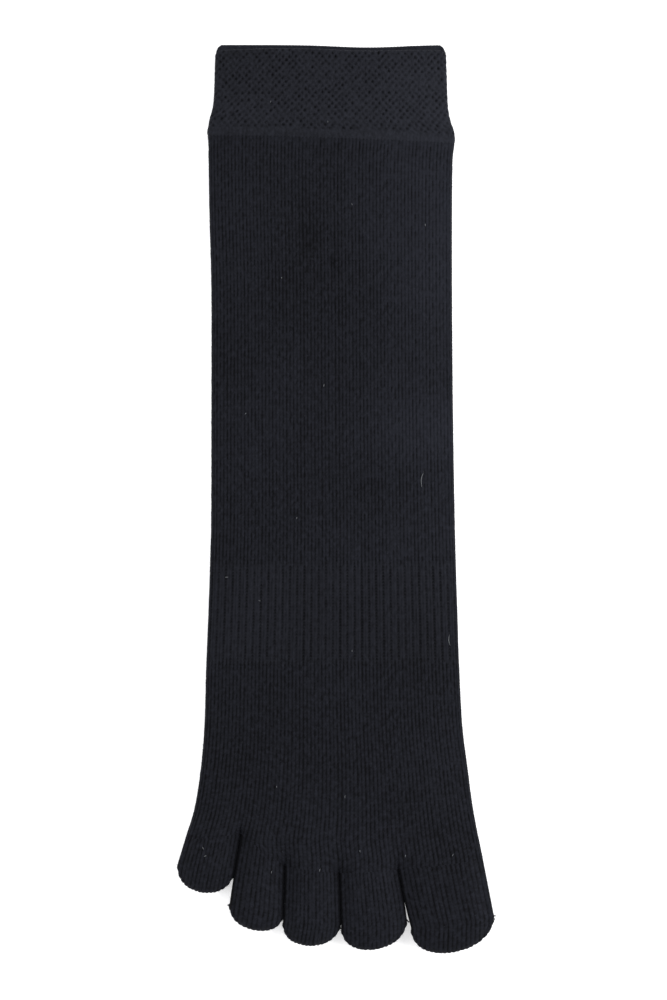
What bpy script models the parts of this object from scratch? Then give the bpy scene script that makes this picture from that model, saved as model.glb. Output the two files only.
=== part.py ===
"""A black knitted sock with five separate toes, lying flat with its instep up.

+X runs across the sock towards the big toe, +Y along it from the toes to the cuff, and +Z up from
the surface that it lies on. All sizes are in metres. "Down" is a distance from the cuff's top edge
towards the toes, and "across" goes from -1 at the little-toe fold to 1 at the big-toe fold.
"""

import math
from bisect import bisect_right
from collections import namedtuple

import bmesh
import bpy
from mathutils import Vector

# Lengths along the sock
CUFF_DEPTH = 0.0335
LEG_LENGTH = 0.0462
INSTEP_LENGTH = 0.1094
ARCH_LENGTH = 0.0382
FOREFOOT_LENGTH = 0.0760
TOE_LENGTH = 0.0283

# The heel's flattened cup, on the hidden side, above and below the ankle line
HEEL_RISE = 0.0160
HEEL_DROP = 0.0270
HEEL_SPAN_SHARE = 0.90
HEEL_POINT_SHARE = 0.985

# Flat widths between the folded edges
CUFF_WIDTH = 0.0844
LEG_WIDTH = 0.0884
ARCH_WIDTH = 0.0910
FOREFOOT_WIDTH = 0.1054
TOE_SPREAD = 0.1152

# Walls, and the air between the upper and the lower one
BODY_WALL = 0.0015
CUFF_WALL = 0.0020
BODY_AIR = 0.0056
FOLD_AIR = 0.0010
TOE_AIR = 0.0064

# The clearance that separate pieces keep where they meet
JOIN_GAP = 0.0003
TOE_GAP = 0.0004

# The cuff's front edge sags about one place across, and its lower join runs slightly aslant
CUFF_EDGE_DIP = 0.0012
SAG_ACROSS = 0.35
SAG_REACH = 0.42
CUFF_JOIN_SLANT = 0.0040
CUFF_JOIN_BLEND = 0.0100

# The arch band's ribs, and the length over which the toes' lanes rise out of the forefoot
RIB_DEPTH = 0.0004
RIBS_PER_FACE = 33
RIBS_PER_FOLD = 3
LANE_LENGTH = 0.0110

# Powers that shape the flattened section: the crown of the body and of the toes
BODY_CROWN = 3.0
TOE_CROWN = 2.8
TIP_ROUNDING = 2.2
TIP_CLOSING = 0.7

YARN_BLACK = (0.0125, 0.0132, 0.0168, 1.0)
YARN_ROUGHNESS = 0.92
COLLECTION = "toe_sock"

# The folded edges and the air, at shares of each zone's length, from the cuff's edge to the toes.
# left and right are shares of half of the flat width named by width, and air is a share of BODY_AIR.
Section = namedtuple("Section", "zone share width left right air")
SECTIONS = (
    Section("cuff", 0.00, "cuff", 1.009, 0.991, 1.08),
    Section("cuff", 0.38, "cuff", 1.017, 1.000, 0.98),
    Section("cuff", 0.66, "cuff", 1.029, 1.009, 0.93),
    Section("cuff", 0.80, "cuff", 1.057, 1.026, 0.94),
    Section("cuff", 0.87, "leg", 1.020, 0.995, 0.96),
    Section("cuff", 0.95, "leg", 1.024, 1.016, 0.98),
    Section("leg", 0.03, "leg", 1.021, 1.015, 1.00),
    Section("leg", 0.20, "leg", 1.019, 1.001, 0.98),
    Section("leg", 0.60, "leg", 1.012, 0.996, 1.00),
    Section("instep", 0.10, "leg", 0.996, 0.996, 1.05),
    Section("instep", 0.50, "leg", 0.996, 1.004, 0.98),
    Section("instep", 0.87, "leg", 0.998, 1.019, 0.96),
    Section("arch", 0.08, "arch", 0.980, 1.000, 0.96),
    Section("arch", 0.50, "arch", 0.992, 1.012, 0.96),
    Section("forefoot", 0.00, "arch", 1.009, 1.025, 0.97),
    Section("forefoot", 0.30, "forefoot", 0.884, 0.908, 1.00),
    Section("forefoot", 0.50, "forefoot", 0.909, 0.944, 1.02),
    Section("forefoot", 0.70, "forefoot", 0.955, 0.983, 1.04),
)

# Where one toe parts from the next, from the little toe's outer side to the big toe's outer side.
# across is a share of half the toe spread, down a share of the toe length below the deepest
# crotch, and opening is how far the two toes part at the valley's end, a share of the toe length.
# The two outer sides start at the forefoot's own folded edges.
Valley = namedtuple("Valley", "name across down end_across end_down opening")
VALLEYS = (
    Valley("little_side", -0.930, -0.43, -0.975, -0.13, 0.00),
    Valley("little_crotch", -0.576, -0.51, -0.652, 0.40, 0.02),
    Valley("fourth_crotch", -0.297, -0.09, -0.308, 0.64, 0.00),
    Valley("middle_crotch", 0.048, 0.00, 0.061, 0.74, 0.01),
    Valley("second_crotch", 0.424, -0.05, 0.494, 0.71, 0.05),
    Valley("big_side", 0.959, -0.18, 1.030, 0.56, 0.00),
)

# Each toe lies between two valleys. left and right are how far down its valleys the round tip
# starts, tip is the tip's length as a share of the toe length, lean moves the tip's end towards
# the big toe as a share of the tip's length, and air is a share of TOE_AIR.
Toe = namedtuple("Toe", "name left right tip lean air")
TOES = (
    Toe("little_toe", 1.00, 0.56, 0.325, -0.06, 0.92),
    Toe("fourth_toe", 1.00, 0.88, 0.285, 0.00, 0.95),
    Toe("middle_toe", 0.98, 0.90, 0.315, -0.03, 0.98),
    Toe("second_toe", 0.97, 0.87, 0.335, -0.03, 1.00),
    Toe("big_toe", 1.00, 1.00, 0.400, -0.03, 1.12),
)

# Shallow hollows in the upper wall: where they lie along a zone and across, how far they reach
# across and along as shares of the leg's width, and how deep as a share of BODY_AIR.
Dent = namedtuple("Dent", "zone share across reach_across reach_along depth")
DENTS = (
    Dent("leg", 0.98, -0.06, 0.07, 0.08, 0.12),
    Dent("leg", 0.72, -0.10, 0.16, 0.30, 0.07),
    Dent("instep", 0.55, 0.62, 0.20, 0.035, 0.05),
    Dent("instep", 0.24, -0.45, 0.14, 0.10, 0.05),
    Dent("forefoot", 0.35, 0.10, 0.24, 0.09, 0.05),
)

# The straight stretches that a folded ring of the wall is divided into
BODY_STEPS, FOREFOOT_STEPS, TOE_STEPS = 20, 40, 6
BODY_FOLD_STEPS, TOE_FOLD_STEPS = 5, 4
CUFF_ROWS = (0.0, 0.30, 0.58, 0.78, 0.90, 0.97, 1.0)
LEG_ROWS = (0.0, 0.04, 0.20, 0.46, 0.74, 1.0)
INSTEP_ROWS = (0.0, 0.07, 0.20, 0.42, 0.64, 0.82, 1.0)
ARCH_ROWS = (0.0, 0.5, 1.0)
FOREFOOT_ROWS = (0.0, 0.28, 0.52, 0.70, 0.82, 0.91, 0.98, 1.0)
HEEL_ROWS = (0.0, 0.25, 0.5, 0.75, 1.0)
TOE_ROWS = (0.0, 0.35, 0.7, 1.0)
TIP_TURNS = (24.0, 46.0, 68.0, 90.0)
HEEL_COLUMNS = 18

ZONES = (
    ("cuff", CUFF_DEPTH),
    ("leg", LEG_LENGTH),
    ("instep", INSTEP_LENGTH),
    ("arch", ARCH_LENGTH),
    ("forefoot", FOREFOOT_LENGTH),
)
ZONE_NAMES = [name for name, _ in ZONES]
WIDTHS = {"cuff": CUFF_WIDTH, "leg": LEG_WIDTH, "arch": ARCH_WIDTH, "forefoot": FOREFOOT_WIDTH}

# One place on a ring round the flattened wall. turn is in degrees, and counts only on a fold.
RingPoint = namedtuple("RingPoint", "side across turn")


def mix(low, high, share):
    return low + (high - low) * share


def smooth_step(share):
    share = min(max(share, 0.0), 1.0)
    return share * share * (3 - 2 * share)


def curve_through(knots, place):
    """The value at place of a smooth curve through (place, value) knots, level past both ends."""
    if place <= knots[0][0]:
        return knots[0][1]
    if place >= knots[-1][0]:
        return knots[-1][1]
    i = bisect_right([knot[0] for knot in knots], place) - 1
    span = knots[i + 1][0] - knots[i][0]
    share = (place - knots[i][0]) / span

    def slope(k):
        before, after = knots[max(k - 1, 0)], knots[min(k + 1, len(knots) - 1)]
        return (after[1] - before[1]) / (after[0] - before[0]) * span

    rest = 1 - share
    return (
        knots[i][1] * (1 + 2 * share) * rest * rest
        + slope(i) * share * rest * rest
        + knots[i + 1][1] * share * share * (3 - 2 * share)
        - slope(i + 1) * share * share * rest
    )


def zone_start(zone):
    """How far down the sock a zone starts."""
    return sum(length for _, length in ZONES[: ZONE_NAMES.index(zone)])


def zone_place(zone, share):
    return zone_start(zone) + ZONES[ZONE_NAMES.index(zone)][1] * share


CROTCH_DOWN = zone_place("forefoot", 1.0)
ANKLE_DOWN = zone_place("leg", 1.0)


def edge_knots(side, sign, valley):
    """The knots of a folded edge, which ends where the outer toe's own side starts."""
    knots = [
        (zone_place(s.zone, s.share), sign * getattr(s, side) * WIDTHS[s.width] / 2)
        for s in SECTIONS
    ]
    end = CROTCH_DOWN + valley.down * TOE_LENGTH
    return knots + [(end, valley.across * TOE_SPREAD / 2)]


LEFT_KNOTS = edge_knots("left", -1, VALLEYS[0])
RIGHT_KNOTS = edge_knots("right", 1, VALLEYS[-1])
AIR_KNOTS = [(zone_place(s.zone, s.share), s.air * BODY_AIR) for s in SECTIONS]


def wall_at(down):
    """The wall's thickness, which eases from the cuff's to the body's about their join."""
    share = (down - CUFF_DEPTH) / CUFF_JOIN_BLEND + 0.5
    return mix(CUFF_WALL, BODY_WALL, smooth_step(share))


def fold_height(down):
    return 2 * wall_at(down) + FOLD_AIR


def crown_height(down):
    return 2 * wall_at(down) + curve_through(AIR_KNOTS, down)


def valley_root(valley):
    """(x, down) of the point where two toes part."""
    return valley.across * TOE_SPREAD / 2, CROTCH_DOWN + valley.down * TOE_LENGTH


def valley_end(valley, toe_side):
    """(x, down) of a valley's end, on the toe to its left (-1) or to its right (1)."""
    x = valley.end_across * TOE_SPREAD / 2 + toe_side * valley.opening * TOE_LENGTH / 2
    return x, CROTCH_DOWN + valley.end_down * TOE_LENGTH


ROOTS = [valley_root(valley) for valley in VALLEYS]


def root_line(x):
    """How far down the forefoot reaches at x, along straight lines from crotch to crotch."""
    x = min(max(x, ROOTS[0][0]), ROOTS[-1][0])
    i = min(max(bisect_right([root[0] for root in ROOTS], x) - 1, 0), len(ROOTS) - 2)
    (x0, down0), (x1, down1) = ROOTS[i], ROOTS[i + 1]
    return mix(down0, down1, (x - x0) / (x1 - x0))


def lane_at(x):
    """(toe index, place across that toe from -1 to 1) of a point x of the forefoot."""
    x = min(max(x, ROOTS[0][0]), ROOTS[-1][0])
    i = min(max(bisect_right([root[0] for root in ROOTS], x) - 1, 0), len(ROOTS) - 2)
    x0, x1 = ROOTS[i][0], ROOTS[i + 1][0]
    return i, 2 * (x - x0) / (x1 - x0) - 1


def toe_heights(toe, across):
    """(lower, upper) height of a toe's outside, where both walls bow out from its side folds."""
    fold = 2 * BODY_WALL + FOLD_AIR
    loft = 2 * BODY_WALL + toe.air * TOE_AIR
    crown = 1 - abs(across) ** TOE_CROWN
    middle = loft / 2
    return mix(middle - fold / 2, 0.0, crown), mix(middle + fold / 2, loft, crown)


def dent_depth(x, down):
    total = 0.0
    for dent in DENTS:
        from_x = (x - dent.across * LEG_WIDTH / 2) / (dent.reach_across * LEG_WIDTH)
        from_down = (down - zone_place(dent.zone, dent.share)) / (dent.reach_along * LEG_WIDTH)
        total += dent.depth * BODY_AIR * math.exp(-(from_x**2) - from_down**2)
    return total


def body_heights(across, x, down):
    """(lower, upper) height of the body's outside."""
    fold = fold_height(down)
    crown = 1 - abs(across) ** BODY_CROWN
    low, high = 0.0, mix(fold, crown_height(down), crown) - dent_depth(x, down) * crown
    lane = smooth_step(1 - (root_line(x) - down) / LANE_LENGTH)
    if lane > 0:
        index, lane_across = lane_at(x)
        toe_low, toe_high = toe_heights(TOES[index], lane_across)
        low, high = mix(low, toe_low, lane), mix(high, toe_high, lane)
    return low, high


def body_point(point, down):
    """Where a ring point of the body's outside lies, down the sock."""
    radius = fold_height(down) / 2
    left = curve_through(LEFT_KNOTS, down) + radius
    right = curve_through(RIGHT_KNOTS, down) - radius
    x = mix(left, right, (point.across + 1) / 2)
    low, high = body_heights(point.across, x, down)
    if point.side == "top":
        return Vector((x, -down, high))
    if point.side == "bottom":
        return Vector((x, -down, low))
    turn = math.radians(point.turn)
    x += radius * math.cos(turn)
    return Vector((x, -down, (low + high) / 2 + radius * math.sin(turn)))


def ring(across_steps, fold_steps):
    """The points round a flattened wall: the lower side, the right fold, the top, the left fold."""
    shares = [i / across_steps for i in range(across_steps)]
    turns = [180 * i / fold_steps for i in range(fold_steps)]
    return (
        [RingPoint("bottom", 2 * share - 1, 0) for share in shares]
        + [RingPoint("right", 1, turn - 90) for turn in turns]
        + [RingPoint("top", 1 - 2 * share, 0) for share in shares]
        + [RingPoint("left", -1, turn + 90) for turn in turns]
    )


def across_wall(point, down):
    """How far across the whole flat width a ring point lies, from -1 at one fold to 1."""
    left, right = curve_through(LEFT_KNOTS, down), curve_through(RIGHT_KNOTS, down)
    return 2 * (body_point(point, down).x - left) / (right - left) - 1


def cuff_edge(point):
    """The cuff's mouth: level behind, and sagging a little towards the right in front."""
    if point.side != "top":
        return 0.0
    sag = math.exp(-(((point.across - SAG_ACROSS) / SAG_REACH) ** 2))
    return CUFF_EDGE_DIP * sag * (1 - point.across**8)


def cuff_join(point):
    return CUFF_DEPTH + CUFF_JOIN_SLANT / 2 * across_wall(point, CUFF_DEPTH)


def heel_bow(point, reach):
    """The line between leg and instep, which the heel bends away from itself on the hidden side."""
    if point.side != "bottom":
        return ANKLE_DOWN
    return ANKLE_DOWN + reach * max(1 - (point.across / HEEL_SPAN_SHARE) ** 2, 0.0)


def leg_end(point):
    return heel_bow(point, -HEEL_RISE)


def instep_start(point):
    return heel_bow(point, HEEL_DROP)


def level(zone, share):
    """An edge straight across the sock."""
    return lambda point: zone_place(zone, share)


def forefoot_end(point):
    """The forefoot's end, found where the ring point meets the line of the crotches."""
    down = CROTCH_DOWN
    for _ in range(24):
        x = body_point(point, down).x
        down = mix(down, root_line(x), 0.5)
    return down


def yarn(name):
    """The dyed yarn of one zone."""
    material = bpy.data.materials.new(name)
    material.use_nodes = True
    shader = material.node_tree.nodes["Principled BSDF"]
    shader.inputs["Base Color"].default_value = YARN_BLACK
    shader.inputs["Roughness"].default_value = YARN_ROUGHNESS
    material.diffuse_color = YARN_BLACK
    return material


def knit(name, columns, rows, place, wall, closed=True):
    """One knitted piece: a grid laid on its outside by place(column, row), given its wall inwards."""
    across = columns if closed else columns - 1
    bm = bmesh.new()
    bmesh.ops.create_grid(bm, x_segments=across, y_segments=rows - 1, size=1.0)
    for vert in bm.verts:
        column = round((vert.co.x + 1) / 2 * across) % columns
        row = round((vert.co.y + 1) / 2 * (rows - 1))
        vert.co = place(column, row)
    bmesh.ops.remove_doubles(bm, verts=bm.verts, dist=1e-6)
    mesh = bpy.data.meshes.new(name)
    bm.to_mesh(mesh)
    bm.free()
    mesh.shade_smooth()
    piece = bpy.data.objects.new(name, mesh)
    bpy.data.collections[COLLECTION].objects.link(piece)
    piece.data.materials.append(yarn(name + "_yarn"))
    thickness = piece.modifiers.new("Wall", "SOLIDIFY")
    thickness.thickness = wall
    thickness.offset = -1
    thickness.use_even_offset = True
    return piece


def body_zone(name, points, shares, start, end, wall, lift=None):
    """A zone of the body between two edges, each kept half the join gap clear of its neighbour."""

    def place(column, row):
        point = points[column]
        down = mix(start(point) + JOIN_GAP / 2, end(point) - JOIN_GAP / 2, shares[row])
        spot = body_point(point, down)
        return spot + lift(column, point) if lift else spot

    return knit(name, len(points), len(shares), place, wall)


def rib_relief(column, point):
    """Every other column of the arch band is sunk towards the inside of the tube."""
    if column % 2 == 0:
        return Vector((0.0, 0.0, 0.0))
    turn = {"top": 90.0, "bottom": -90.0}.get(point.side, point.turn)
    inwards = Vector((-math.cos(math.radians(turn)), 0.0, -math.sin(math.radians(turn))))
    return inwards * RIB_DEPTH


def make_heel():
    """The heel's patch, pointed at both ends, between the leg and the instep on the hidden side."""
    inner = [2 * i / HEEL_COLUMNS - 1 for i in range(1, HEEL_COLUMNS)]
    shares = [-HEEL_POINT_SHARE, *inner, HEEL_POINT_SHARE]
    points = [RingPoint("bottom", HEEL_SPAN_SHARE * share, 0) for share in shares]

    def clear(point, reach):
        slant = 4 * reach * point.across / HEEL_SPAN_SHARE**2 / LEG_WIDTH
        return JOIN_GAP * (math.hypot(1, slant) - 0.5)

    def place(column, row):
        point = points[column]
        start = leg_end(point) + clear(point, HEEL_RISE)
        end = instep_start(point) - clear(point, HEEL_DROP)
        return body_point(point, mix(start, end, HEEL_ROWS[row]))

    return knit("heel", len(points), len(HEEL_ROWS), place, BODY_WALL, closed=False)


def toe_section(toe, point, left, right):
    """A ring point of a toe's outside, on the section whose folded sides are left and right."""
    radius = (2 * BODY_WALL + FOLD_AIR) / 2
    width = right[0] - left[0]
    low, high = toe_heights(toe, point.across)
    turn = math.radians(point.turn)
    out = radius * math.cos(turn) if point.side in ("left", "right") else 0.0
    share = (radius + (width - 2 * radius) * (point.across + 1) / 2 + out) / width
    height = {"top": high, "bottom": low}.get(
        point.side, (low + high) / 2 + radius * math.sin(turn)
    )
    return Vector((left[0] + width * share, -mix(left[1], right[1], share), height))


def make_toe(index):
    """A tube between two valleys, closed by a round tip."""
    toe, left_valley, right_valley = TOES[index], VALLEYS[index], VALLEYS[index + 1]
    points = ring(TOE_STEPS, TOE_FOLD_STEPS)
    loft = 2 * BODY_WALL + toe.air * TOE_AIR
    left_ends = valley_root(left_valley), valley_end(left_valley, 1)
    right_ends = valley_root(right_valley), valley_end(right_valley, -1)

    def side(ends, reach, share, sign):
        lean = sign * (ends[1][0] - ends[0][0]) / (ends[1][1] - ends[0][1])
        clear = TOE_GAP + BODY_WALL * max(lean, 0.0)
        x = mix(ends[0][0], ends[1][0], reach * share) + sign * JOIN_GAP / 2
        return x, mix(ends[0][1] + clear, ends[1][1], reach * share)

    def place(column, row):
        share = TOE_ROWS[min(row, len(TOE_ROWS) - 1)]
        left = side(left_ends, toe.left, share, 1)
        right = side(right_ends, toe.right, share, -1)
        spot = toe_section(toe, points[column], left, right)
        if row < len(TOE_ROWS):
            return spot
        turn = math.radians(TIP_TURNS[row - len(TOE_ROWS)])
        centre = Vector(((left[0] + right[0]) / 2, -(left[1] + right[1]) / 2, loft / 2))
        tip = Vector((toe.lean, -1.0, 0.0)) * toe.tip * TOE_LENGTH
        closing = max(math.cos(turn), 0.0)
        arm = spot - centre
        narrowing = closing ** (2 / TIP_ROUNDING)
        flattening = closing**TIP_CLOSING
        arm = Vector((arm.x * narrowing, arm.y * narrowing, arm.z * flattening))
        return centre + arm + tip * math.sin(turn) ** (2 / TIP_ROUNDING)

    return knit(toe.name, len(points), len(TOE_ROWS) + len(TIP_TURNS), place, BODY_WALL)


def stand_on_origin(pieces):
    """Moves the pieces so that the middle of the sock's underside is at the origin."""
    bpy.context.view_layer.update()
    depsgraph = bpy.context.evaluated_depsgraph_get()
    corners = [Vector(c) for piece in pieces for c in piece.evaluated_get(depsgraph).bound_box]
    middle_x = (min(c.x for c in corners) + max(c.x for c in corners)) / 2
    middle_y = (min(c.y for c in corners) + max(c.y for c in corners)) / 2
    for piece in pieces:
        piece.location = (-middle_x, -middle_y, 0.0)


def main():
    for old in list(bpy.data.objects):
        bpy.data.objects.remove(old)
    bpy.context.scene.collection.children.link(bpy.data.collections.new(COLLECTION))
    body_ring = ring(BODY_STEPS, BODY_FOLD_STEPS)
    arch_ring = ring(2 * RIBS_PER_FACE, 2 * RIBS_PER_FOLD)
    forefoot_ring = ring(FOREFOOT_STEPS, BODY_FOLD_STEPS)
    arch_start, arch_end = level("arch", 0.0), level("arch", 1.0)
    pieces = [
        body_zone("cuff", body_ring, CUFF_ROWS, cuff_edge, cuff_join, CUFF_WALL),
        body_zone("leg", body_ring, LEG_ROWS, cuff_join, leg_end, BODY_WALL),
        make_heel(),
        body_zone("instep", body_ring, INSTEP_ROWS, instep_start, arch_start, BODY_WALL),
        body_zone(
            "arch_band", arch_ring, ARCH_ROWS, arch_start, arch_end, BODY_WALL, rib_relief
        ),
        body_zone(
            "forefoot", forefoot_ring, FOREFOOT_ROWS, arch_end, forefoot_end, BODY_WALL
        ),
    ]
    pieces += [make_toe(index) for index in range(len(TOES))]
    stand_on_origin(pieces)


if __name__ == "__main__":
    main()
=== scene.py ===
"""A black knitted sock with five separate toes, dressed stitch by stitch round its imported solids.

The sock lies flat with its instep up, +Y towards the cuff and +Z up, in metres. "Down" is a distance
from the cuff's top edge towards the toes, and "ring" goes once round the flattened tube, counted in
wales, the knit's upright columns: along the underside, round the big-toe fold, back along the top and
round the little-toe fold. Courses are the knit's rows of stitches.
"""

import math
from collections import namedtuple

import bmesh
import bpy
import numpy as np
from bpy.props import FloatProperty, FloatVectorProperty, IntProperty, PointerProperty
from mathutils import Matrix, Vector


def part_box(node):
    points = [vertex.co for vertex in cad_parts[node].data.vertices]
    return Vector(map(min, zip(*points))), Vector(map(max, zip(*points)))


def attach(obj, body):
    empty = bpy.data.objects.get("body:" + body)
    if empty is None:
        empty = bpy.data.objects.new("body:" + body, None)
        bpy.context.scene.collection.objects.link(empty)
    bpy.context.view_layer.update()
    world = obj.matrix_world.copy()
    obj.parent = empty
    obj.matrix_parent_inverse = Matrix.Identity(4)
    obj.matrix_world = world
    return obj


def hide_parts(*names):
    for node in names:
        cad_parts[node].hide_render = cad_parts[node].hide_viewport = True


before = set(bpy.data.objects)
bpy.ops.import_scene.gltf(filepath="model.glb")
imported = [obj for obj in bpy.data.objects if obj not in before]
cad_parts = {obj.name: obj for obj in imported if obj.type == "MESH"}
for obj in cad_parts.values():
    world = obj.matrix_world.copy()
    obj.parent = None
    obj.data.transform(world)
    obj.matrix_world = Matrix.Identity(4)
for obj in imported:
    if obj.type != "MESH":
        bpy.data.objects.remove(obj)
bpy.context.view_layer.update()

bl_info = {
    "name": "Knitted toe sock",
    "version": (1, 0, 0),
    "blender": (4, 5, 0),
    "location": "3D View > Sidebar > Toe Sock",
    "description": "Knits a black sock with separate toes, and sets it on a pale studio floor",
    "category": "Add Mesh",
}

# The solids' own sizes: lengths along the sock, flat widths, walls, air and clearances
CUFF_DEPTH = 0.0335
LEG_LENGTH = 0.0462
INSTEP_LENGTH = 0.1094
ARCH_LENGTH = 0.0382
FOREFOOT_LENGTH = 0.0760
TOE_LENGTH = 0.0283
HEEL_RISE = 0.0160
HEEL_DROP = 0.0270
HEEL_SPAN_SHARE = 0.90
CUFF_WIDTH = 0.0844
LEG_WIDTH = 0.0884
ARCH_WIDTH = 0.0910
FOREFOOT_WIDTH = 0.1054
TOE_SPREAD = 0.1152
BODY_WALL = 0.0015
CUFF_WALL = 0.0020
BODY_AIR = 0.0056
FOLD_AIR = 0.0010
TOE_AIR = 0.0064
JOIN_GAP = 0.0003
CUFF_JOIN_BLEND = 0.0100
LANE_LENGTH = 0.0110
BODY_CROWN = 3.0
TOE_CROWN = 2.8
TIP_ROUNDING = 2.2
TIP_CLOSING = 0.7

# Sections down the tube, each at a share of a zone: how far it reaches to the left and right of the
# middle line, as shares of half the flat width, and how much air it holds
Section = namedtuple("Section", "zone share width left right air")
SECTIONS = (
    Section("cuff", 0.00, CUFF_WIDTH, 1.009, 0.991, 1.08),
    Section("cuff", 0.38, CUFF_WIDTH, 1.017, 1.000, 0.98),
    Section("cuff", 0.66, CUFF_WIDTH, 1.029, 1.009, 0.93),
    Section("cuff", 0.80, CUFF_WIDTH, 1.057, 1.026, 0.94),
    Section("cuff", 0.87, LEG_WIDTH, 1.020, 0.995, 0.96),
    Section("cuff", 0.95, LEG_WIDTH, 1.024, 1.016, 0.98),
    Section("leg", 0.03, LEG_WIDTH, 1.021, 1.015, 1.00),
    Section("leg", 0.20, LEG_WIDTH, 1.019, 1.001, 0.98),
    Section("leg", 0.60, LEG_WIDTH, 1.012, 0.996, 1.00),
    Section("instep", 0.10, LEG_WIDTH, 0.996, 0.996, 1.05),
    Section("instep", 0.50, LEG_WIDTH, 0.996, 1.004, 0.98),
    Section("instep", 0.87, LEG_WIDTH, 0.998, 1.019, 0.96),
    Section("arch", 0.08, ARCH_WIDTH, 0.980, 1.000, 0.96),
    Section("arch", 0.50, ARCH_WIDTH, 0.992, 1.012, 0.96),
    Section("forefoot", 0.00, ARCH_WIDTH, 1.009, 1.025, 0.97),
    Section("forefoot", 0.30, FOREFOOT_WIDTH, 0.884, 0.908, 1.00),
    Section("forefoot", 0.50, FOREFOOT_WIDTH, 0.909, 0.944, 1.02),
    Section("forefoot", 0.70, FOREFOOT_WIDTH, 0.955, 0.983, 1.04),
)

# The lines down the toes' sides, between toes and at both outer sides, as shares of the toes' spread
# and length: where each starts and ends, and how far apart the two toes are at its end
Valley = namedtuple("Valley", "across down end_across end_down opening")
VALLEYS = (
    Valley(-0.930, -0.43, -0.975, -0.13, 0.00),
    Valley(-0.576, -0.51, -0.652, 0.40, 0.02),
    Valley(-0.297, -0.09, -0.308, 0.64, 0.00),
    Valley(0.048, 0.00, 0.061, 0.74, 0.01),
    Valley(0.424, -0.05, 0.494, 0.71, 0.05),
    Valley(0.959, -0.18, 1.030, 0.56, 0.00),
)

# left and right are how far down those lines a toe's sides run before its tip rounds off, tip is the
# tip's length as a share of the toes', lean is how far it leans towards the big toe for each step
# down, air is what it holds as a share, and wales is how many upright columns its flat face shows
Toe = namedtuple("Toe", "name left right tip lean air wales")
TOES = (
    Toe("little_toe", 1.00, 0.56, 0.325, -0.20, 0.92, 12),
    Toe("fourth_toe", 1.00, 0.88, 0.270, -0.17, 0.95, 9),
    Toe("middle_toe", 0.98, 0.90, 0.305, -0.16, 0.98, 12),
    Toe("second_toe", 0.97, 0.87, 0.335, 0.00, 1.00, 13),
    Toe("big_toe", 1.00, 1.00, 0.400, -0.03, 1.12, 16),
)

# Hollows in the upper wall. The last three are puckers too small for the solids.
Dent = namedtuple("Dent", "zone share across reach_across reach_along depth")
DENTS = (
    Dent("leg", 0.98, -0.06, 0.07, 0.08, 0.12),
    Dent("leg", 0.72, -0.10, 0.16, 0.30, 0.07),
    Dent("instep", 0.55, 0.62, 0.20, 0.035, 0.05),
    Dent("instep", 0.24, -0.45, 0.14, 0.10, 0.05),
    Dent("forefoot", 0.35, 0.10, 0.24, 0.09, 0.05),
    Dent("leg", 0.99, -0.045, 0.022, 0.030, 0.10),
    Dent("instep", 0.06, -0.10, 0.012, 0.045, 0.05),
    Dent("instep", 0.05, 0.01, 0.012, 0.050, 0.05),
)

# Painted light and shade, as paler yarn where the number is positive and darker where it is negative:
# a painted highlight down the right side, where the stronger light falls, a painted sheen along the
# left side, painted shade in the hollow by the leg's dimple, painted highlights and shade at the small
# puckers, and, with no cause of their own, paler toes and a darker roll at the cuff's base
PaintedLight = namedtuple("PaintedLight", "zone share across reach_across reach_along paler")
PAINTED_LIGHTS = (
    PaintedLight("leg", 0.45, 0.68, 0.34, 0.55, 0.42),
    PaintedLight("instep", 0.15, 0.95, 0.25, 0.60, 0.30),
    PaintedLight("instep", 0.58, 0.78, 0.26, 0.16, 0.45),
    PaintedLight("instep", 0.90, 0.80, 0.40, 0.25, 0.20),
    PaintedLight("leg", 0.95, -0.22, 0.22, 0.32, -0.10),
    PaintedLight("leg", 0.82, -0.16, 0.05, 0.10, -0.20),
    PaintedLight("leg", 0.96, -0.05, 0.012, 0.07, 0.25),
    PaintedLight("instep", 0.00, 0.01, 0.012, 0.020, -0.60),
    PaintedLight("cuff", 0.98, 0.00, 2.00, 0.035, -0.20),
    PaintedLight("forefoot", 1.20, -0.90, 0.50, 0.30, 0.10),
    PaintedLight("forefoot", 1.25, 0.60, 0.70, 0.35, 0.12),
    PaintedLight("instep", 0.60, -0.80, 0.35, 0.70, 0.16),
    PaintedLight("arch", 0.60, -0.75, 0.35, 0.30, 0.16),
    PaintedLight("leg", 0.40, -0.85, 0.25, 0.50, 0.16),
)

# The knit: wales on a flat face and on a fold, and the mesh steps that make one stitch
FACE_WALES = 66
FOLD_WALES = 6
RING_WALES = 2 * (FACE_WALES + FOLD_WALES)
TOE_FOLD_WALES = 2
WALE_STEPS = 4
COURSE_ROWS = 2
DIMPLE_ROWS = 8
INNER_ROWS = 6
LIP_TURNS = (-90.0, -45.0, 0.0, 45.0)
INSIDE_DEPTH = -1.0

# Each toe starts this many wales on from the last, so that no two have the same uneven stitches,
# which are drawn for this many courses
TOE_WALES_APART = 10
UNEVEN_COURSES = 256

# The plain knit: how sharp its grooves are and how far they differ, then how much painted shade its
# hollows get, and how much paler or darker stitches that swell or sink are painted
GROOVE_SHARPNESS = 1.6
GROOVE_SHARE = 0.85
GROOVE_BY_WALE = 0.12
GROOVE_BY_STITCH = 0.30
NOTCH_REACH = 0.15
GROOVE_SHADE = 0.9
HOLE_SHADE = 0.5
NOTCH_SHADE = 0.15
ROW_SHADE = 0.3
SWELL_SHADE = 0.2

# Where one knit eases into the next: over how many courses, how far wales differ there, and the
# share of its painted shade that it starts with
EASE_COURSES = 3
EASE_BY_WALE = 0.7
EASED_SHADE = 0.6

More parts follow.
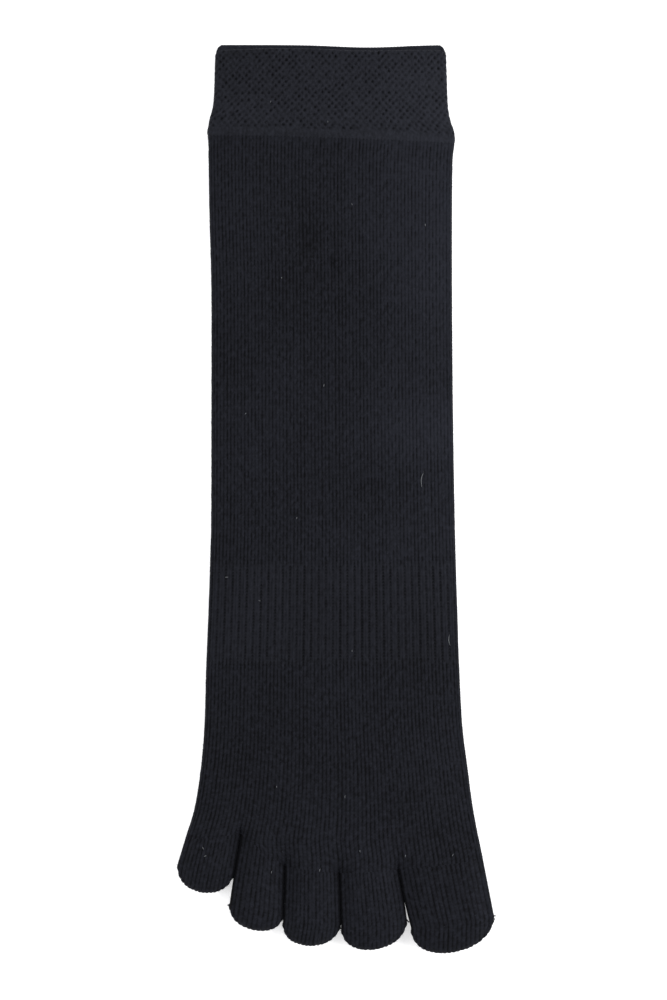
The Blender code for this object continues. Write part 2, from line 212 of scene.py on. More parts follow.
# The arch band: furrows on every other wale, with a hole at each course, both given painted shade,
# which clears some of the plain knit's painted shade
FURROW_SHARPNESS = 3
FURROW_SHARE = 0.3
RIB_SMOOTHNESS = 0.4
RIB_HOLE_SHARE = 0.85
RIB_HOLE_BY_WALE = 0.15
RIB_HOLE_BY_STITCH = 0.25
FURROW_SHADE = 0.2
FURROW_CLEARING = 0.5
RIB_HOLE_SHADE = 1.5

# The cuff: its dimples' reach and how far they differ, and its grooves, shallower among the dimples,
# then the painted shade in its dimples and grooves, and how much paler or darker swelling stitches are
# painted
DIMPLE_ACROSS = 0.40
DIMPLE_ALONG = 0.22
DIMPLE_SHARE = 0.85
DIMPLE_DIFFERENCE = 0.4
DIMPLE_SHIFT = 0.08
DIMPLE_START = 0.4
CUFF_GROOVE_SHARPNESS = 3
ROLL_GROOVE_SHARE = 0.4
DIMPLED_GROOVE_SHARE = 0.15
DIMPLE_SHADE = 0.95
CUFF_GROOVE_SHADE = 0.15
CUFF_STITCH_SHADE = 0.18

# How far apart the surface is sampled to find which way it faces
RING_PROBE = 0.8
DOWN_PROBE = 0.0012

# The hairline between two pieces, how near points merge, and what counts as whole or as nothing
VISIBLE_GAP = 0.00001
MERGE_DISTANCE = 0.000001
ROUNDING = 1e-6
NOTHING = 1e-12

# Edges turned by more than this stay sharp, a wall is at most this share of the tube's height, and
# the forefoot pinches in between the toes' roots over this length
RIM_ANGLE = math.radians(80)
WALL_SHARE = 0.42
PINCH_LENGTH = 0.0035

# The mouth's two edges, the cuff's rounded corners, and how its roll laps over the leg
FRONT_EDGE_DROP = 0.0018
BACK_EDGE_RISE = 0.0006
MOUTH_DIP = 0.0009
DIP_ACROSS = 0.35
DIP_REACH = 0.42
CORNER_RADIUS = 0.0024
ROLL_LAP = 0.0013
ROLL_SLANT = 0.0029

# The heel's patch lies on the underside alone, where the turn's sine is below this. It has fewer
# courses than it is long, and its stitches fade towards its two points.
FACING_DOWN = -0.999
HEEL_COURSE_SHARE = 0.75
HEEL_FADE = 4

# The zigzag of the cuff's last rows starts late, and the crotches' line is found in small steps
CUFF_ZIGZAG_BEND = 8
CROTCH_STEPS = 24

# How a toe's side presses on its neighbour, then leaves it, and how dark the painted shade in the crevice
# between is
TOE_TOUCH = -0.00024
OPENING_BEND = 3.0
CREVICE_REACH = 0.0008
CREVICE_SHADE = 0.9

# How many steps a line takes down a toe's side and over its tip, how many rows of the mesh ease its
# zigzag in and out, and how many feel the tip's edge
SIDE_STEPS = 12
TIP_STEPS = 40
ZIGZAG_ROWS = 6
TIP_EDGE_ROWS = 8

# Nothing of the knit lies lower than this above the floor
LOWEST = 0.00002

# The photograph's frame, and how long a pixel is on the floor
FRAME_WIDTH = 667
FRAME_HEIGHT = 1000
PIXEL = 0.000367
SOCK_PIXEL = (336.0, 499.0)

ZONES = (
    ("cuff", CUFF_DEPTH),
    ("leg", LEG_LENGTH),
    ("instep", INSTEP_LENGTH),
    ("arch", ARCH_LENGTH),
    ("forefoot", FOREFOOT_LENGTH),
)
ZONE_NAMES = [name for name, _ in ZONES]


def mix(low, high, share):
    return low + (high - low) * share


def smooth_step(share):
    share = np.clip(share, 0.0, 1.0)
    return share * share * (3 - 2 * share)


def bell(distance):
    """1 at no distance, fading to almost nothing at 2."""
    return np.exp(-(distance**2))


def crest(turns):
    """A wave that is 1 at each whole turn and 0 halfway between."""
    return 0.5 + 0.5 * np.cos(2 * np.pi * turns)


def zone_place(zone, share):
    """How far down the sock a share of a zone's length lies."""
    index = ZONE_NAMES.index(zone)
    return sum(length for _, length in ZONES[:index]) + ZONES[index][1] * share


CROTCH_DOWN = zone_place("forefoot", 1.0)
ANKLE_DOWN = zone_place("leg", 1.0)
ROOT_X = np.array([v.across * TOE_SPREAD / 2 for v in VALLEYS])
ROOT_DOWN = np.array([CROTCH_DOWN + v.down * TOE_LENGTH for v in VALLEYS])

# The solids' box gives the sock's own middle line and its top edge
AXIS_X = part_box("little_toe")[0].x - VALLEYS[0].end_across * TOE_SPREAD / 2 - JOIN_GAP / 2
TOP_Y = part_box("cuff")[1].y + JOIN_GAP / 2


def edge_knots(side, sign, end):
    """(down, x) down one side of the tube, ending at the outermost crotch line."""
    knots = [(zone_place(s.zone, s.share), sign * getattr(s, side) * s.width / 2) for s in SECTIONS]
    return np.array(knots + [(ROOT_DOWN[end], ROOT_X[end])])


LEFT_KNOTS = edge_knots("left", -1, 0)
RIGHT_KNOTS = edge_knots("right", 1, -1)
AIR_KNOTS = np.array([(zone_place(s.zone, s.share), s.air * BODY_AIR) for s in SECTIONS])


def curve_through(knots, place):
    """The values at the places of a smooth curve through (place, value) knots, level past its ends."""
    at, value = knots[:, 0], knots[:, 1]
    last = len(at) - 1
    after = np.minimum(np.arange(last + 1) + 1, last)
    before = np.maximum(np.arange(last + 1) - 1, 0)
    slope = (value[after] - value[before]) / (at[after] - at[before])
    place = np.clip(place, at[0], at[-1])
    i = np.clip(np.searchsorted(at, place, side="right") - 1, 0, last - 1)
    span = at[i + 1] - at[i]
    share = (place - at[i]) / span
    rest = 1 - share
    return (
        value[i] * (1 + 2 * share) * rest**2
        + slope[i] * span * share * rest**2
        + value[i + 1] * share**2 * (3 - 2 * share)
        - slope[i + 1] * span * share**2 * rest
    )


def wall_at(down):
    """The wall's thickness, which goes from the cuff's to the body's at their join."""
    share = (down - CUFF_DEPTH) / CUFF_JOIN_BLEND + 0.5
    return mix(CUFF_WALL, BODY_WALL, smooth_step(share))


def root_line(x):
    """How far down the forefoot reaches at x, along straight lines from crotch to crotch."""
    return np.interp(x, ROOT_X, ROOT_DOWN)


TOE_LOFTS = np.array([2 * BODY_WALL + toe.air * TOE_AIR for toe in TOES])
TOE_FOLD = 2 * BODY_WALL + FOLD_AIR


def toe_half_height(loft, width, from_side):
    """Half a toe's height at a distance from its side: round at the fold, then gently crowned."""
    radius = TOE_FOLD / 2
    from_side = np.clip(from_side, 0.0, width / 2)
    across = np.clip((width / 2 - from_side) / (width / 2 - radius), 0.0, 1.0)
    crowned = mix(radius, loft / 2, 1 - across**TOE_CROWN)
    fold = np.clip(1 - from_side / radius, 0.0, 1.0)
    return np.where(from_side < radius, radius * np.sqrt(1 - fold**2), crowned)


def nearness(area, x, down):
    """1 in the middle of a dent or of a patch of painted light or shade, fading over its reach."""
    from_x = (x - area.across * LEG_WIDTH / 2) / (area.reach_across * LEG_WIDTH)
    from_down = (down - zone_place(area.zone, area.share)) / (area.reach_along * LEG_WIDTH)
    return bell(from_x) * bell(from_down)


def dent_depth(x, down):
    """How far the hollows sink the upper wall."""
    return sum(dent.depth * BODY_AIR * nearness(dent, x, down) for dent in DENTS)


def painted_light_and_shade(x, down):
    """How much paler the knit is painted: painted light, or painted shade where it is negative."""
    return sum(area.paler * nearness(area, x, down) for area in PAINTED_LIGHTS)


def toe_lane(x, down):
    """(middle height, half height, how far it counts) of the toes' forms rising in the forefoot."""
    inside = np.clip(x, ROOT_X[0], ROOT_X[-1])
    i = np.clip(np.searchsorted(ROOT_X, inside, side="right") - 1, 0, len(TOES) - 1)
    width = ROOT_X[i + 1] - ROOT_X[i]
    from_side = np.minimum(inside - ROOT_X[i], ROOT_X[i + 1] - inside)
    across = 1 - 2 * from_side / width
    lane = mix(TOE_FOLD / 2, TOE_LOFTS[i] / 2, 1 - np.abs(across) ** TOE_CROWN)
    to_root = root_line(x) - down
    pinch = smooth_step(1 - to_root / PINCH_LENGTH)
    half = mix(lane, toe_half_height(TOE_LOFTS[i], width, from_side), pinch)
    return TOE_LOFTS[i] / 2, half, smooth_step(1 - to_root / LANE_LENGTH)


def body_heights(across, x, down):
    """(lower, upper) height of the body's outside."""
    wall, crown = wall_at(down), 1 - np.abs(across) ** BODY_CROWN
    fold = 2 * wall + FOLD_AIR
    high = mix(fold, 2 * wall + curve_through(AIR_KNOTS, down), crown)
    high = high - dent_depth(x, down) * crown
    middle, half, lane = toe_lane(x, down)
    return mix(0.0, middle - half, lane), mix(high, middle + half, lane)


def ring_place(ring):
    """(place across from -1 to 1, turn in radians) of ring counts: -90 degrees faces down, 90 up."""
    ring = np.mod(ring, RING_WALES)
    top = FACE_WALES + FOLD_WALES
    across = np.interp(ring, (0, FACE_WALES, top, top + FACE_WALES), (-1, 1, 1, -1))
    turn = np.interp(ring, (0, FACE_WALES, top, top + FACE_WALES, RING_WALES), (-90, -90, 90, 90, 270))
    return across, np.radians(turn)


def body_place(across, down):
    """(radius of the folds, x) of places across the tube's flat faces."""
    radius = wall_at(down) + FOLD_AIR / 2
    left = curve_through(LEFT_KNOTS, down) + radius
    right = curve_through(RIGHT_KNOTS, down) - radius
    return radius, mix(left, right, (across + 1) / 2)


def body_surface(ring, down):
    """Points on the outside of the body's tube."""
    across, turn = ring_place(ring)
    radius, x = body_place(across, down)
    low, high = body_heights(across, x, down)
    z = (low + high) / 2 + (high - low) / 2 * np.sin(turn)
    return np.stack((AXIS_X + x + radius * np.cos(turn), TOP_Y - down, z), axis=-1)


def unit(vectors):
    return vectors / np.maximum(np.linalg.norm(vectors, axis=-1, keepdims=True), NOTHING)


def body_directions(ring, down):
    """(outward, downward) unit directions on the body's outside."""
    along = body_surface(ring, down + DOWN_PROBE) - body_surface(ring, down - DOWN_PROBE)
    around = body_surface(ring + RING_PROBE, down) - body_surface(ring - RING_PROBE, down)
    return unit(np.cross(around, along)), unit(along)


def body_thickness(ring, down):
    """How far apart the two outsides lie, which limits the wall near the crotches."""
    across, _ = ring_place(ring)
    _, x = body_place(across, down)
    low, high = body_heights(across, x, down)
    return high - low


# A random number for each wale and for each of its stitches, the same on every run
UNEVEN = np.random.default_rng(11)
WALE_UNEVEN = UNEVEN.uniform(-1.0, 1.0, RING_WALES + 1)
STITCH_UNEVEN = UNEVEN.uniform(-1.0, 1.0, (RING_WALES + 1, UNEVEN_COURSES))


def whole(count):
    """The whole number at or below a count."""
    return np.floor(count + ROUNDING)


def uneven_wale(ring):
    return WALE_UNEVEN[np.mod(np.round(ring).astype(int), RING_WALES)]


def uneven_stitch(ring, course):
    columns = np.mod(whole(ring).astype(int), RING_WALES)
    rows = np.mod(whole(course).astype(int), UNEVEN_COURSES)
    return STITCH_UNEVEN[columns, rows]


def zigzag(ring):
    """The V that a course makes on each wale, from -0.5 at its edges to 0.5 at its middle."""
    return 0.5 - np.abs(2 * np.mod(ring, 1.0) - 1)


def jersey(ring, course, sizes):
    """(height, painted shade share) of plain knit: two legs to a wale, a groove between wales, with
    painted shade in its hollows.
    """
    place = np.mod(ring, 1.0)
    uneven = GROOVE_BY_WALE * uneven_wale(ring) + GROOVE_BY_STITCH * uneven_stitch(ring + 0.5, course / 2)
    between = crest(place) ** GROOVE_SHARPNESS * (GROOVE_SHARE + uneven)
    hole = crest(course)
    notch = bell((place - 0.5) / NOTCH_REACH)
    leg = 1 - between
    bulge = np.cos(2 * np.pi * course) * leg
    swell = uneven_stitch(ring, course)
    height = -sizes.groove_depth * between - sizes.notch_depth * notch
    height = height + sizes.stitch_bulge * (bulge - 1) / 2 + sizes.unevenness * swell * leg
    depth = between * (GROOVE_SHADE + HOLE_SHADE * hole) + NOTCH_SHADE * notch
    depth = depth + ROW_SHADE * (1 - bulge) / 2
    return height, depth - SWELL_SHADE * swell * leg


def leg_jersey(ring, course, sizes):
    """(height, painted shade share) of the leg's knit, drawn smooth and with less painted shade where it
    comes out from under the cuff.
    """
    height, depth = jersey(ring, course, sizes)
    ease = smooth_step((course + EASE_BY_WALE * uneven_wale(ring)) / EASE_COURSES)
    return height * ease, depth * mix(EASED_SHADE, 1.0, ease)


def ribbing(ring, course, sizes):
    """(height, painted shade share) of the arch band: ribs two wales wide with holes down each furrow,
    given painted shade.
    """
    courses = round(ARCH_LENGTH / sizes.course)
    ease = smooth_step(np.minimum(course, courses - course) / EASE_COURSES)
    by_stitch = RIB_HOLE_BY_STITCH * uneven_stitch(ring / 2, course / 4)
    gape = RIB_HOLE_SHARE + RIB_HOLE_BY_WALE * uneven_wale(ring) + by_stitch
    furrow = (1 - crest(ring / 2)) ** FURROW_SHARPNESS * ease
    hole = furrow * crest(course) * gape
    plain, depth = jersey(ring, course, sizes)
    smoothness = RIB_SMOOTHNESS * ease
    height = plain * (1 - smoothness) - sizes.rib_depth * mix(hole, furrow, FURROW_SHARE)
    depth = depth * (1 - smoothness - FURROW_CLEARING * furrow)
    return height, depth + FURROW_SHADE * furrow + RIB_HOLE_SHADE * hole


def dimpling(ring, down, sizes):
    """(height, painted shade share) of the cuff: small dimples on every wale, offset on every other one,
    given painted shade.
    """
    place = np.mod(ring, 1.0) - 0.5
    offset = 0.5 * np.mod(whole(ring), 2.0)
    row = down / sizes.dimple_pitch + offset
    uneven = uneven_stitch(ring, row)
    along = np.mod(row, 1.0) - 0.5 + DIMPLE_SHIFT * uneven
    to_join = cuff_join(ring) - down
    lattice = smooth_step((to_join - sizes.roll_depth) / (DIMPLE_START * sizes.dimple_pitch))
    lattice = lattice * smooth_step(down / sizes.dimple_pitch)
    dimple = bell(place / DIMPLE_ACROSS) * bell(along / DIMPLE_ALONG) * lattice
    dimple = dimple * (DIMPLE_SHARE + DIMPLE_DIFFERENCE * uneven)
    groove = crest(place + 0.5) ** CUFF_GROOVE_SHARPNESS
    roll = bell((to_join / sizes.roll_depth - 0.5) / 0.5)
    swell = uneven_stitch(ring + 0.5, row * 2)
    height = -sizes.dimple_depth * dimple
    height = height - sizes.groove_depth * groove * mix(ROLL_GROOVE_SHARE, DIMPLED_GROOVE_SHARE, lattice)
    height = height + sizes.roll_height * (roll - 1) + sizes.unevenness * swell
    return height, DIMPLE_SHADE * dimple + CUFF_GROOVE_SHADE * groove - CUFF_STITCH_SHADE * swell


def lay_grid(name, points, ring, course, depth, fill_sides=False):
    """One closed piece from a grid whose rows run down the outside and back up the inside."""
    rows, columns = points.shape[:2]
    bm = bmesh.new()
    bmesh.ops.create_grid(bm, x_segments=columns - 1, y_segments=rows - 1, size=1.0)
    mesh = bpy.data.meshes.new(name)
    bm.to_mesh(mesh)
    flat = np.empty(len(mesh.vertices) * 3)
    mesh.vertices.foreach_get("co", flat)
    flat = flat.reshape(-1, 3)
    column = np.round((flat[:, 0] + 1) / 2 * (columns - 1)).astype(int)
    row = np.round((flat[:, 1] + 1) / 2 * (rows - 1)).astype(int)
    mesh.vertices.foreach_set("co", points[row, column].ravel())
    corners = np.empty(len(mesh.loops), dtype=int)
    mesh.loops.foreach_get("vertex_index", corners)
    knit_map = mesh.uv_layers.new(name="Knit")
    places = np.stack((ring[row, column], course[row, column]), axis=-1)[corners]
    knit_map.uv.foreach_set("vector", places.ravel())
    # Each point's painted shade share: painted shade in the knit's hollows, painted light where it is
    # negative
    deep = mesh.attributes.new("Depth", "FLOAT", "POINT")
    deep.data.foreach_set("value", depth[row, column])
    bm.clear()
    bm.from_mesh(mesh)
    bmesh.ops.remove_doubles(bm, verts=bm.verts, dist=MERGE_DISTANCE)
    if fill_sides:
        open_edges = [edge for edge in bm.edges if edge.is_boundary]
        bmesh.ops.holes_fill(bm, edges=open_edges, sides=0)
    bm.to_mesh(mesh)
    bm.free()
    mesh.shade_smooth()
    mesh.set_sharp_from_angle(angle=RIM_ANGLE)
    piece = bpy.data.objects.new(name, mesh)
    bpy.context.scene.collection.objects.link(piece)
    return piece


def stitched_shell(name, outside, outward, relief, ring, course, wall, lip=None, fill_sides=False):
    """A piece with stitches on its outside, a plain inside and, at its first row, perhaps a lip."""
    height, depth = relief
    # Painted light and shade lower or raise each point's painted shade share, so the knit is painted
    # paler or darker there
    depth = depth - painted_light_and_shade(outside[..., 0] - AXIS_X, TOP_Y - outside[..., 1])
    knitted = outside + outward * height[..., None]
    step = max((len(outside) - 1) // INNER_ROWS, 1)
    picks = np.unique(np.append(np.arange(0, len(outside), step), len(outside) - 1))[::-1]
    inside = (outside - outward * wall[..., None])[picks]
    rows = [knitted, inside]
    rings = [ring, ring[picks]]
    courses = [course, course[picks]]
    depths = [depth, np.full(inside.shape[:2], INSIDE_DEPTH)]
    if lip is not None:
        rows.append(lip)
        rings.append(np.repeat(ring[:1], len(lip), axis=0))
        courses.append(np.repeat(course[:1], len(lip), axis=0))
        depths.append(np.zeros(lip.shape[:2]))
    for parts in (rows, rings, courses, depths):
        parts.append(parts[0][:1])
    stacked = [np.concatenate(parts) for parts in (rows, rings, courses, depths)]
    stacked[0][..., 2] = np.maximum(stacked[0][..., 2], LOWEST)
    return lay_grid(name, *stacked, fill_sides=fill_sides)


def body_piece(name, ring_span, start, end, rows, pattern, sizes, bend=1.0, fades=(1.0, 1.0)):
    """A zone of the tube, from the line start(ring) to the line end(ring)."""
    ring = np.linspace(*ring_span, round((ring_span[1] - ring_span[0]) * WALE_STEPS) + 1)
    share = np.linspace(0.0, 1.0, rows + 1)[:, None]
    first, last = start(ring) + VISIBLE_GAP / 2, end(ring) - VISIBLE_GAP / 2
    farthest = np.max(last)
    down = mix(first, farthest, share) + (last - farthest) * share**bend
    fade = mix(fades[0], fades[1], share)
    down = down + zigzag(ring) * sizes.course / 2 * fade
    ring = np.broadcast_to(ring, down.shape)
    outside = body_surface(ring, down)
    outward, _ = body_directions(ring, down)
    course = np.broadcast_to(np.arange(rows + 1)[:, None] / COURSE_ROWS, down.shape)
    wall = np.minimum(sizes.wall, WALL_SHARE * body_thickness(ring, down))
    height, depth = pattern(ring, course, sizes)
    relief = height + standing_out(outward, sizes.proud), depth
    closed = ring_span[1] - ring_span[0] == RING_WALES
    return stitched_shell(name, outside, outward, relief, ring, course, wall, fill_sides=not closed)


def standing_out(outward, proud):
    """How far the yarn stands off the solid: fully above and at the sides, not where it lies."""
    return proud * np.clip(1 + outward[..., 2], 0.0, 1.0)


def course_rows(length, sizes):
    return COURSE_ROWS * round(length / sizes.course)


def level(down):
    return lambda ring: np.full_like(ring, down)


def side_distances(ring, down):
    """How far points lie from the sock's left and right sides."""
    x = body_surface(ring, down)[..., 0] - AXIS_X
    return x - curve_through(LEFT_KNOTS, down), curve_through(RIGHT_KNOTS, down) - x


def cuff_edge(ring):
    """The mouth: its back edge shows behind the front one, both dip, and the corners are round."""
    across, turn = ring_place(ring)
    edge = mix(-BACK_EDGE_RISE, FRONT_EDGE_DROP, smooth_step((np.sin(turn) + 1) / 2))
    dip = MOUTH_DIP * bell((across - DIP_ACROSS) / DIP_REACH)
    from_left, from_right = side_distances(ring, np.zeros_like(ring))
    from_side = np.clip(1 - np.minimum(from_left, from_right) / CORNER_RADIUS, 0.0, 1.0)
    return edge + dip + CORNER_RADIUS * (1 - np.sqrt(1 - from_side**2))


def cuff_join(ring):
    """The slanting line where the cuff's roll ends on the leg."""
    down = np.full_like(ring, CUFF_DEPTH)
    from_left, from_right = side_distances(ring, down)
    across = (from_left - from_right) / (from_left + from_right)
    return down + ROLL_LAP + ROLL_SLANT / 2 * across


def heel_bow(ring, reach):
    """The line between leg and instep, bent away from the heel on the underside."""
    across, turn = ring_place(ring)
    bow = reach * np.maximum(1 - (across / HEEL_SPAN_SHARE) ** 2, 0.0)
    return ANKLE_DOWN + np.where(np.sin(turn) < FACING_DOWN, bow, 0.0)


def leg_end(ring):
    return heel_bow(ring, -HEEL_RISE)


def instep_start(ring):
    return heel_bow(ring, HEEL_DROP)


def forefoot_end(ring):
    """The line of the crotches, where the toes start."""
    down = np.full_like(ring, CROTCH_DOWN)
    for _ in range(CROTCH_STEPS):
        x = body_surface(ring, down)[..., 0] - AXIS_X
        down = mix(down, root_line(x), 0.5)
    return down


def make_cuff(sizes):
    """The dimpled cuff, from the rounded lip of its mouth to its roll over the leg."""
    ring = np.linspace(0, RING_WALES, RING_WALES * WALE_STEPS + 1)
    rows = round(CUFF_DEPTH / sizes.dimple_pitch * DIMPLE_ROWS)
    share = np.linspace(0.0, 1.0, rows + 1)[:, None]
    lip = sizes.wall / 2
    scallop = 0.5 * sizes.groove_depth * crest(ring)
    first = cuff_edge(ring) + JOIN_GAP / 2 + scallop
    last = cuff_join(ring) - VISIBLE_GAP / 2
    down = mix(first + lip, last, share) + zigzag(ring) * sizes.course / 2 * share**CUFF_ZIGZAG_BEND
    ring = np.broadcast_to(ring, down.shape)
    outside = body_surface(ring, down)
    outward, along = body_directions(ring, down)
    height, depth = dimpling(ring, down, sizes)
    relief = height + standing_out(outward, sizes.cuff_proud), depth
    turns = np.radians(LIP_TURNS)[:, None, None]
    middle = outside[0] - outward[0] * lip
    edge = middle + lip * (np.sin(turns) * outward[0] - np.cos(turns) * along[0])
    course = np.broadcast_to(np.arange(rows + 1)[:, None] / DIMPLE_ROWS, down.shape)
    wall = np.full(down.shape, sizes.wall)
    return stitched_shell("cuff_knit", outside, outward, relief, ring, course, wall, lip=edge)


def make_heel(sizes):
    """The heel's patch, with its courses closing up towards its two points."""
    ends = (round((1 - HEEL_SPAN_SHARE) / 2 * FACE_WALES * WALE_STEPS) + 2) / WALE_STEPS
    rows = course_rows((HEEL_RISE + HEEL_DROP) * HEEL_COURSE_SHARE, sizes)

    def pattern(ring, course, sizes):
        height, depth = jersey(ring, course, sizes)
        across, _ = ring_place(ring)
        room = 1 - (across / HEEL_SPAN_SHARE) ** 2
        return height * smooth_step(room * HEEL_FADE), depth

    span = (ends, FACE_WALES - ends)
    return body_piece("heel_knit", span, leg_end, instep_start, rows, pattern, sizes)


def toe_side_line(index, toe_side, reach):
    """Points down a toe's side, as (x, down): along its neighbour at first, then away from it."""
    valley = VALLEYS[index]
    gap = TOE_TOUCH if 0 < index < len(TOES) else -JOIN_GAP
    root = np.array((ROOT_X[index] + toe_side * gap / 2, ROOT_DOWN[index] + VISIBLE_GAP / 2))
    x = valley.end_across * TOE_SPREAD / 2 + toe_side * gap / 2
    end = np.array((x, CROTCH_DOWN + valley.end_down * TOE_LENGTH))
    passed = np.linspace(0.0, reach, SIDE_STEPS)[:, None]
    apart = toe_side * valley.opening * TOE_LENGTH / 2 * passed**OPENING_BEND
    return mix(root, end, passed) + np.hstack((apart, np.zeros_like(apart)))


def toe_columns(toe, width):
    """(share of the width, half height) of each mesh column, from the right side to the left."""
    radius = TOE_FOLD / 2
    fold = TOE_FOLD_WALES * WALE_STEPS
    face = toe.wales * WALE_STEPS
    turn = np.linspace(0.0, np.pi / 2, fold + 1)
    right = 1 - radius * (1 - np.cos(turn)) / width
    flat = mix(1 - radius / width, radius / width, np.linspace(0.0, 1.0, face + 1)[1:-1])
    shares = np.concatenate((right, flat, 1 - right[::-1]))
    from_side = np.minimum(shares, 1 - shares) * width
    return shares, toe_half_height(TOE_LOFTS[TOES.index(toe)], width, from_side)


def toe_wale(loft, width, share, line, tip):
    """A fine line down one wale of a toe's top, from its root to the tip's edge."""
    across = abs(2 * share - 1)
    reach = max(1 - across**TIP_ROUNDING, 0.0) ** (1 / TIP_ROUNDING)
    advance = reach * np.sin(np.linspace(0.0, np.pi / 2, TIP_STEPS + 1))[1:]
    left_over = np.maximum(1 - advance**TIP_ROUNDING, NOTHING)
    scaled = np.minimum(across / left_over ** (1 / TIP_ROUNDING), 1.0)
    height = toe_half_height(loft, width, (1 - scaled) * width / 2) * left_over ** (TIP_CLOSING / 2)
    if reach > 0:
        height[-1] = 0.0
    root_height = toe_half_height(loft, width, min(share, 1 - share) * width)
    plan = np.concatenate((line, line[-1] + advance[:, None] * tip))
    heights = np.concatenate((np.full(len(line), root_height), height))
    return plan, heights


def toe_top(index, sizes):
    """(grid of x, down and half height; each column's share of the width; width) of a toe's top."""
    toe, loft = TOES[index], TOE_LOFTS[index]
    left = toe_side_line(index, 1, toe.left)
    right = toe_side_line(index + 1, -1, toe.right)
    tip = np.array((toe.lean, 1.0)) * toe.tip * TOE_LENGTH
    root_shares, root_heights = toe_columns(toe, right[0, 0] - left[0, 0])
    width = right[-1, 0] - left[-1, 0]
    shares, _ = toe_columns(toe, width)
    eased = smooth_step(np.linspace(0.0, 1.0, SIDE_STEPS))
    shifts = (zigzag(toe_ring(shares)) + 0.5) * sizes.course / 2
    middle_length = (left[-1, 1] - left[0, 1] + right[-1, 1] - right[0, 1]) / 2
    straight_rows = course_rows(middle_length, sizes)
    tip_rows = course_rows(tip[1] + loft / 3, sizes)
    last = straight_rows + tip_rows
    row = np.arange(last + 1)
    fade = smooth_step(row / ZIGZAG_ROWS) * smooth_step((last - row) / ZIGZAG_ROWS)
    top = np.empty((last + 1, len(shares), 3))
    for column, share in enumerate(shares):
        line = mix(left, right, mix(root_shares[column], share, eased)[:, None])
        plan, heights = toe_wale(loft, width, share, line, tip)
        heights[:SIDE_STEPS] = mix(root_heights[column], heights[:SIDE_STEPS], eased)
        line = np.column_stack((plan, heights))
        passed = np.append(0.0, np.cumsum(np.linalg.norm(np.diff(line, axis=0), axis=1)))
        bend = passed[SIDE_STEPS - 1]
        wanted = np.concatenate((
            np.linspace(0.0, bend, straight_rows + 1),
            np.linspace(bend, passed[-1], tip_rows + 1)[1:],
        ))
        wanted = np.clip(wanted + shifts[column] * fade, 0.0, passed[-1])
        for axis in range(3):
            top[:, column, axis] = np.interp(wanted, passed, line[:, axis])
    return top, shares, width


def toe_ring(shares):
    """The ring counts of a toe's mesh columns, which are 0 where its flat face starts."""
    return np.arange(len(shares)) / WALE_STEPS - TOE_FOLD_WALES


def crevice(index, shares, width):
    """1 along the sides where a toe lies on a neighbour, fading to nothing away from them: where painted
    shade goes.
    """
    nearest = np.full_like(shares, width)
    if index > 0:
        nearest = np.minimum(nearest, shares * width)
    if index < len(TOES) - 1:
        nearest = np.minimum(nearest, (1 - shares) * width)
    return bell(nearest / CREVICE_REACH)


def make_toe(index, sizes):
    """A toe's pocket: each wale runs down the top, over the tip's edge and back underneath."""
    top, shares, width = toe_top(index, sizes)
    loft, last = TOE_LOFTS[index], len(top) - 1
    signs = np.concatenate((np.ones(last + 1), -np.ones(last)))[:, None]
    around = np.concatenate((top, top[-2::-1]))
    outside = np.stack(
        (AXIS_X + around[..., 0], TOP_Y - around[..., 1], loft / 2 + around[..., 2] * signs), axis=-1
    )
    outward = pocket_directions(outside)
    row = np.concatenate((np.arange(last + 1), np.arange(last)[::-1]))
    course = np.broadcast_to(row[:, None] / COURSE_ROWS, outside.shape[:2])
    ring = np.broadcast_to(toe_ring(shares) + TOE_WALES_APART * index, course.shape)
    height, depth = jersey(ring, course, sizes)
    near_edge = bell((last - row) / TIP_EDGE_ROWS)[:, None]
    near_side = bell(np.minimum(shares, 1 - shares) * width / TOE_FOLD) * (1 - near_edge)
    height = height * mix(1.0, sizes.tip_scallop, near_edge) * (1 - near_side)
    height = height + standing_out(outward, sizes.proud) * (1 - near_edge) * (1 - near_side)
    # Painted shade in the crevice where a toe lies on its neighbour
    depth = depth + CREVICE_SHADE * crevice(index, shares, width) * (1 - near_edge)
    wall = np.full(course.shape, sizes.wall)
    name = TOES[index].name + "_knit"
    return stitched_shell(name, outside, outward, (height, depth), ring, course, wall)


def pocket_directions(points):
    """Outward directions on a pocket whose columns at both sides fold onto themselves."""
    mirrored = points[::-1]
    padded = np.concatenate((mirrored[:, 1:2], points, mirrored[:, -2:-1]), axis=1)
    around = padded[:, 2:] - padded[:, :-2]
    along = np.gradient(points, axis=0)
    normal = np.cross(around, along)
    outward = unit(normal)
    lost = np.linalg.norm(normal, axis=-1) < NOTHING
    sideways = np.zeros_like(points)
    sideways[:, 0, 0] = 1.0
    sideways[:, -1, 0] = -1.0
    outward[:, 0] = np.where(lost[:, 0, None], sideways[:, 0], outward[:, 0])
    outward[:, -1] = np.where(lost[:, -1, None], sideways[:, -1], outward[:, -1])
    return outward


# A direction that no fibre runs along
ASKEW = (0.31, 0.53, 0.79)


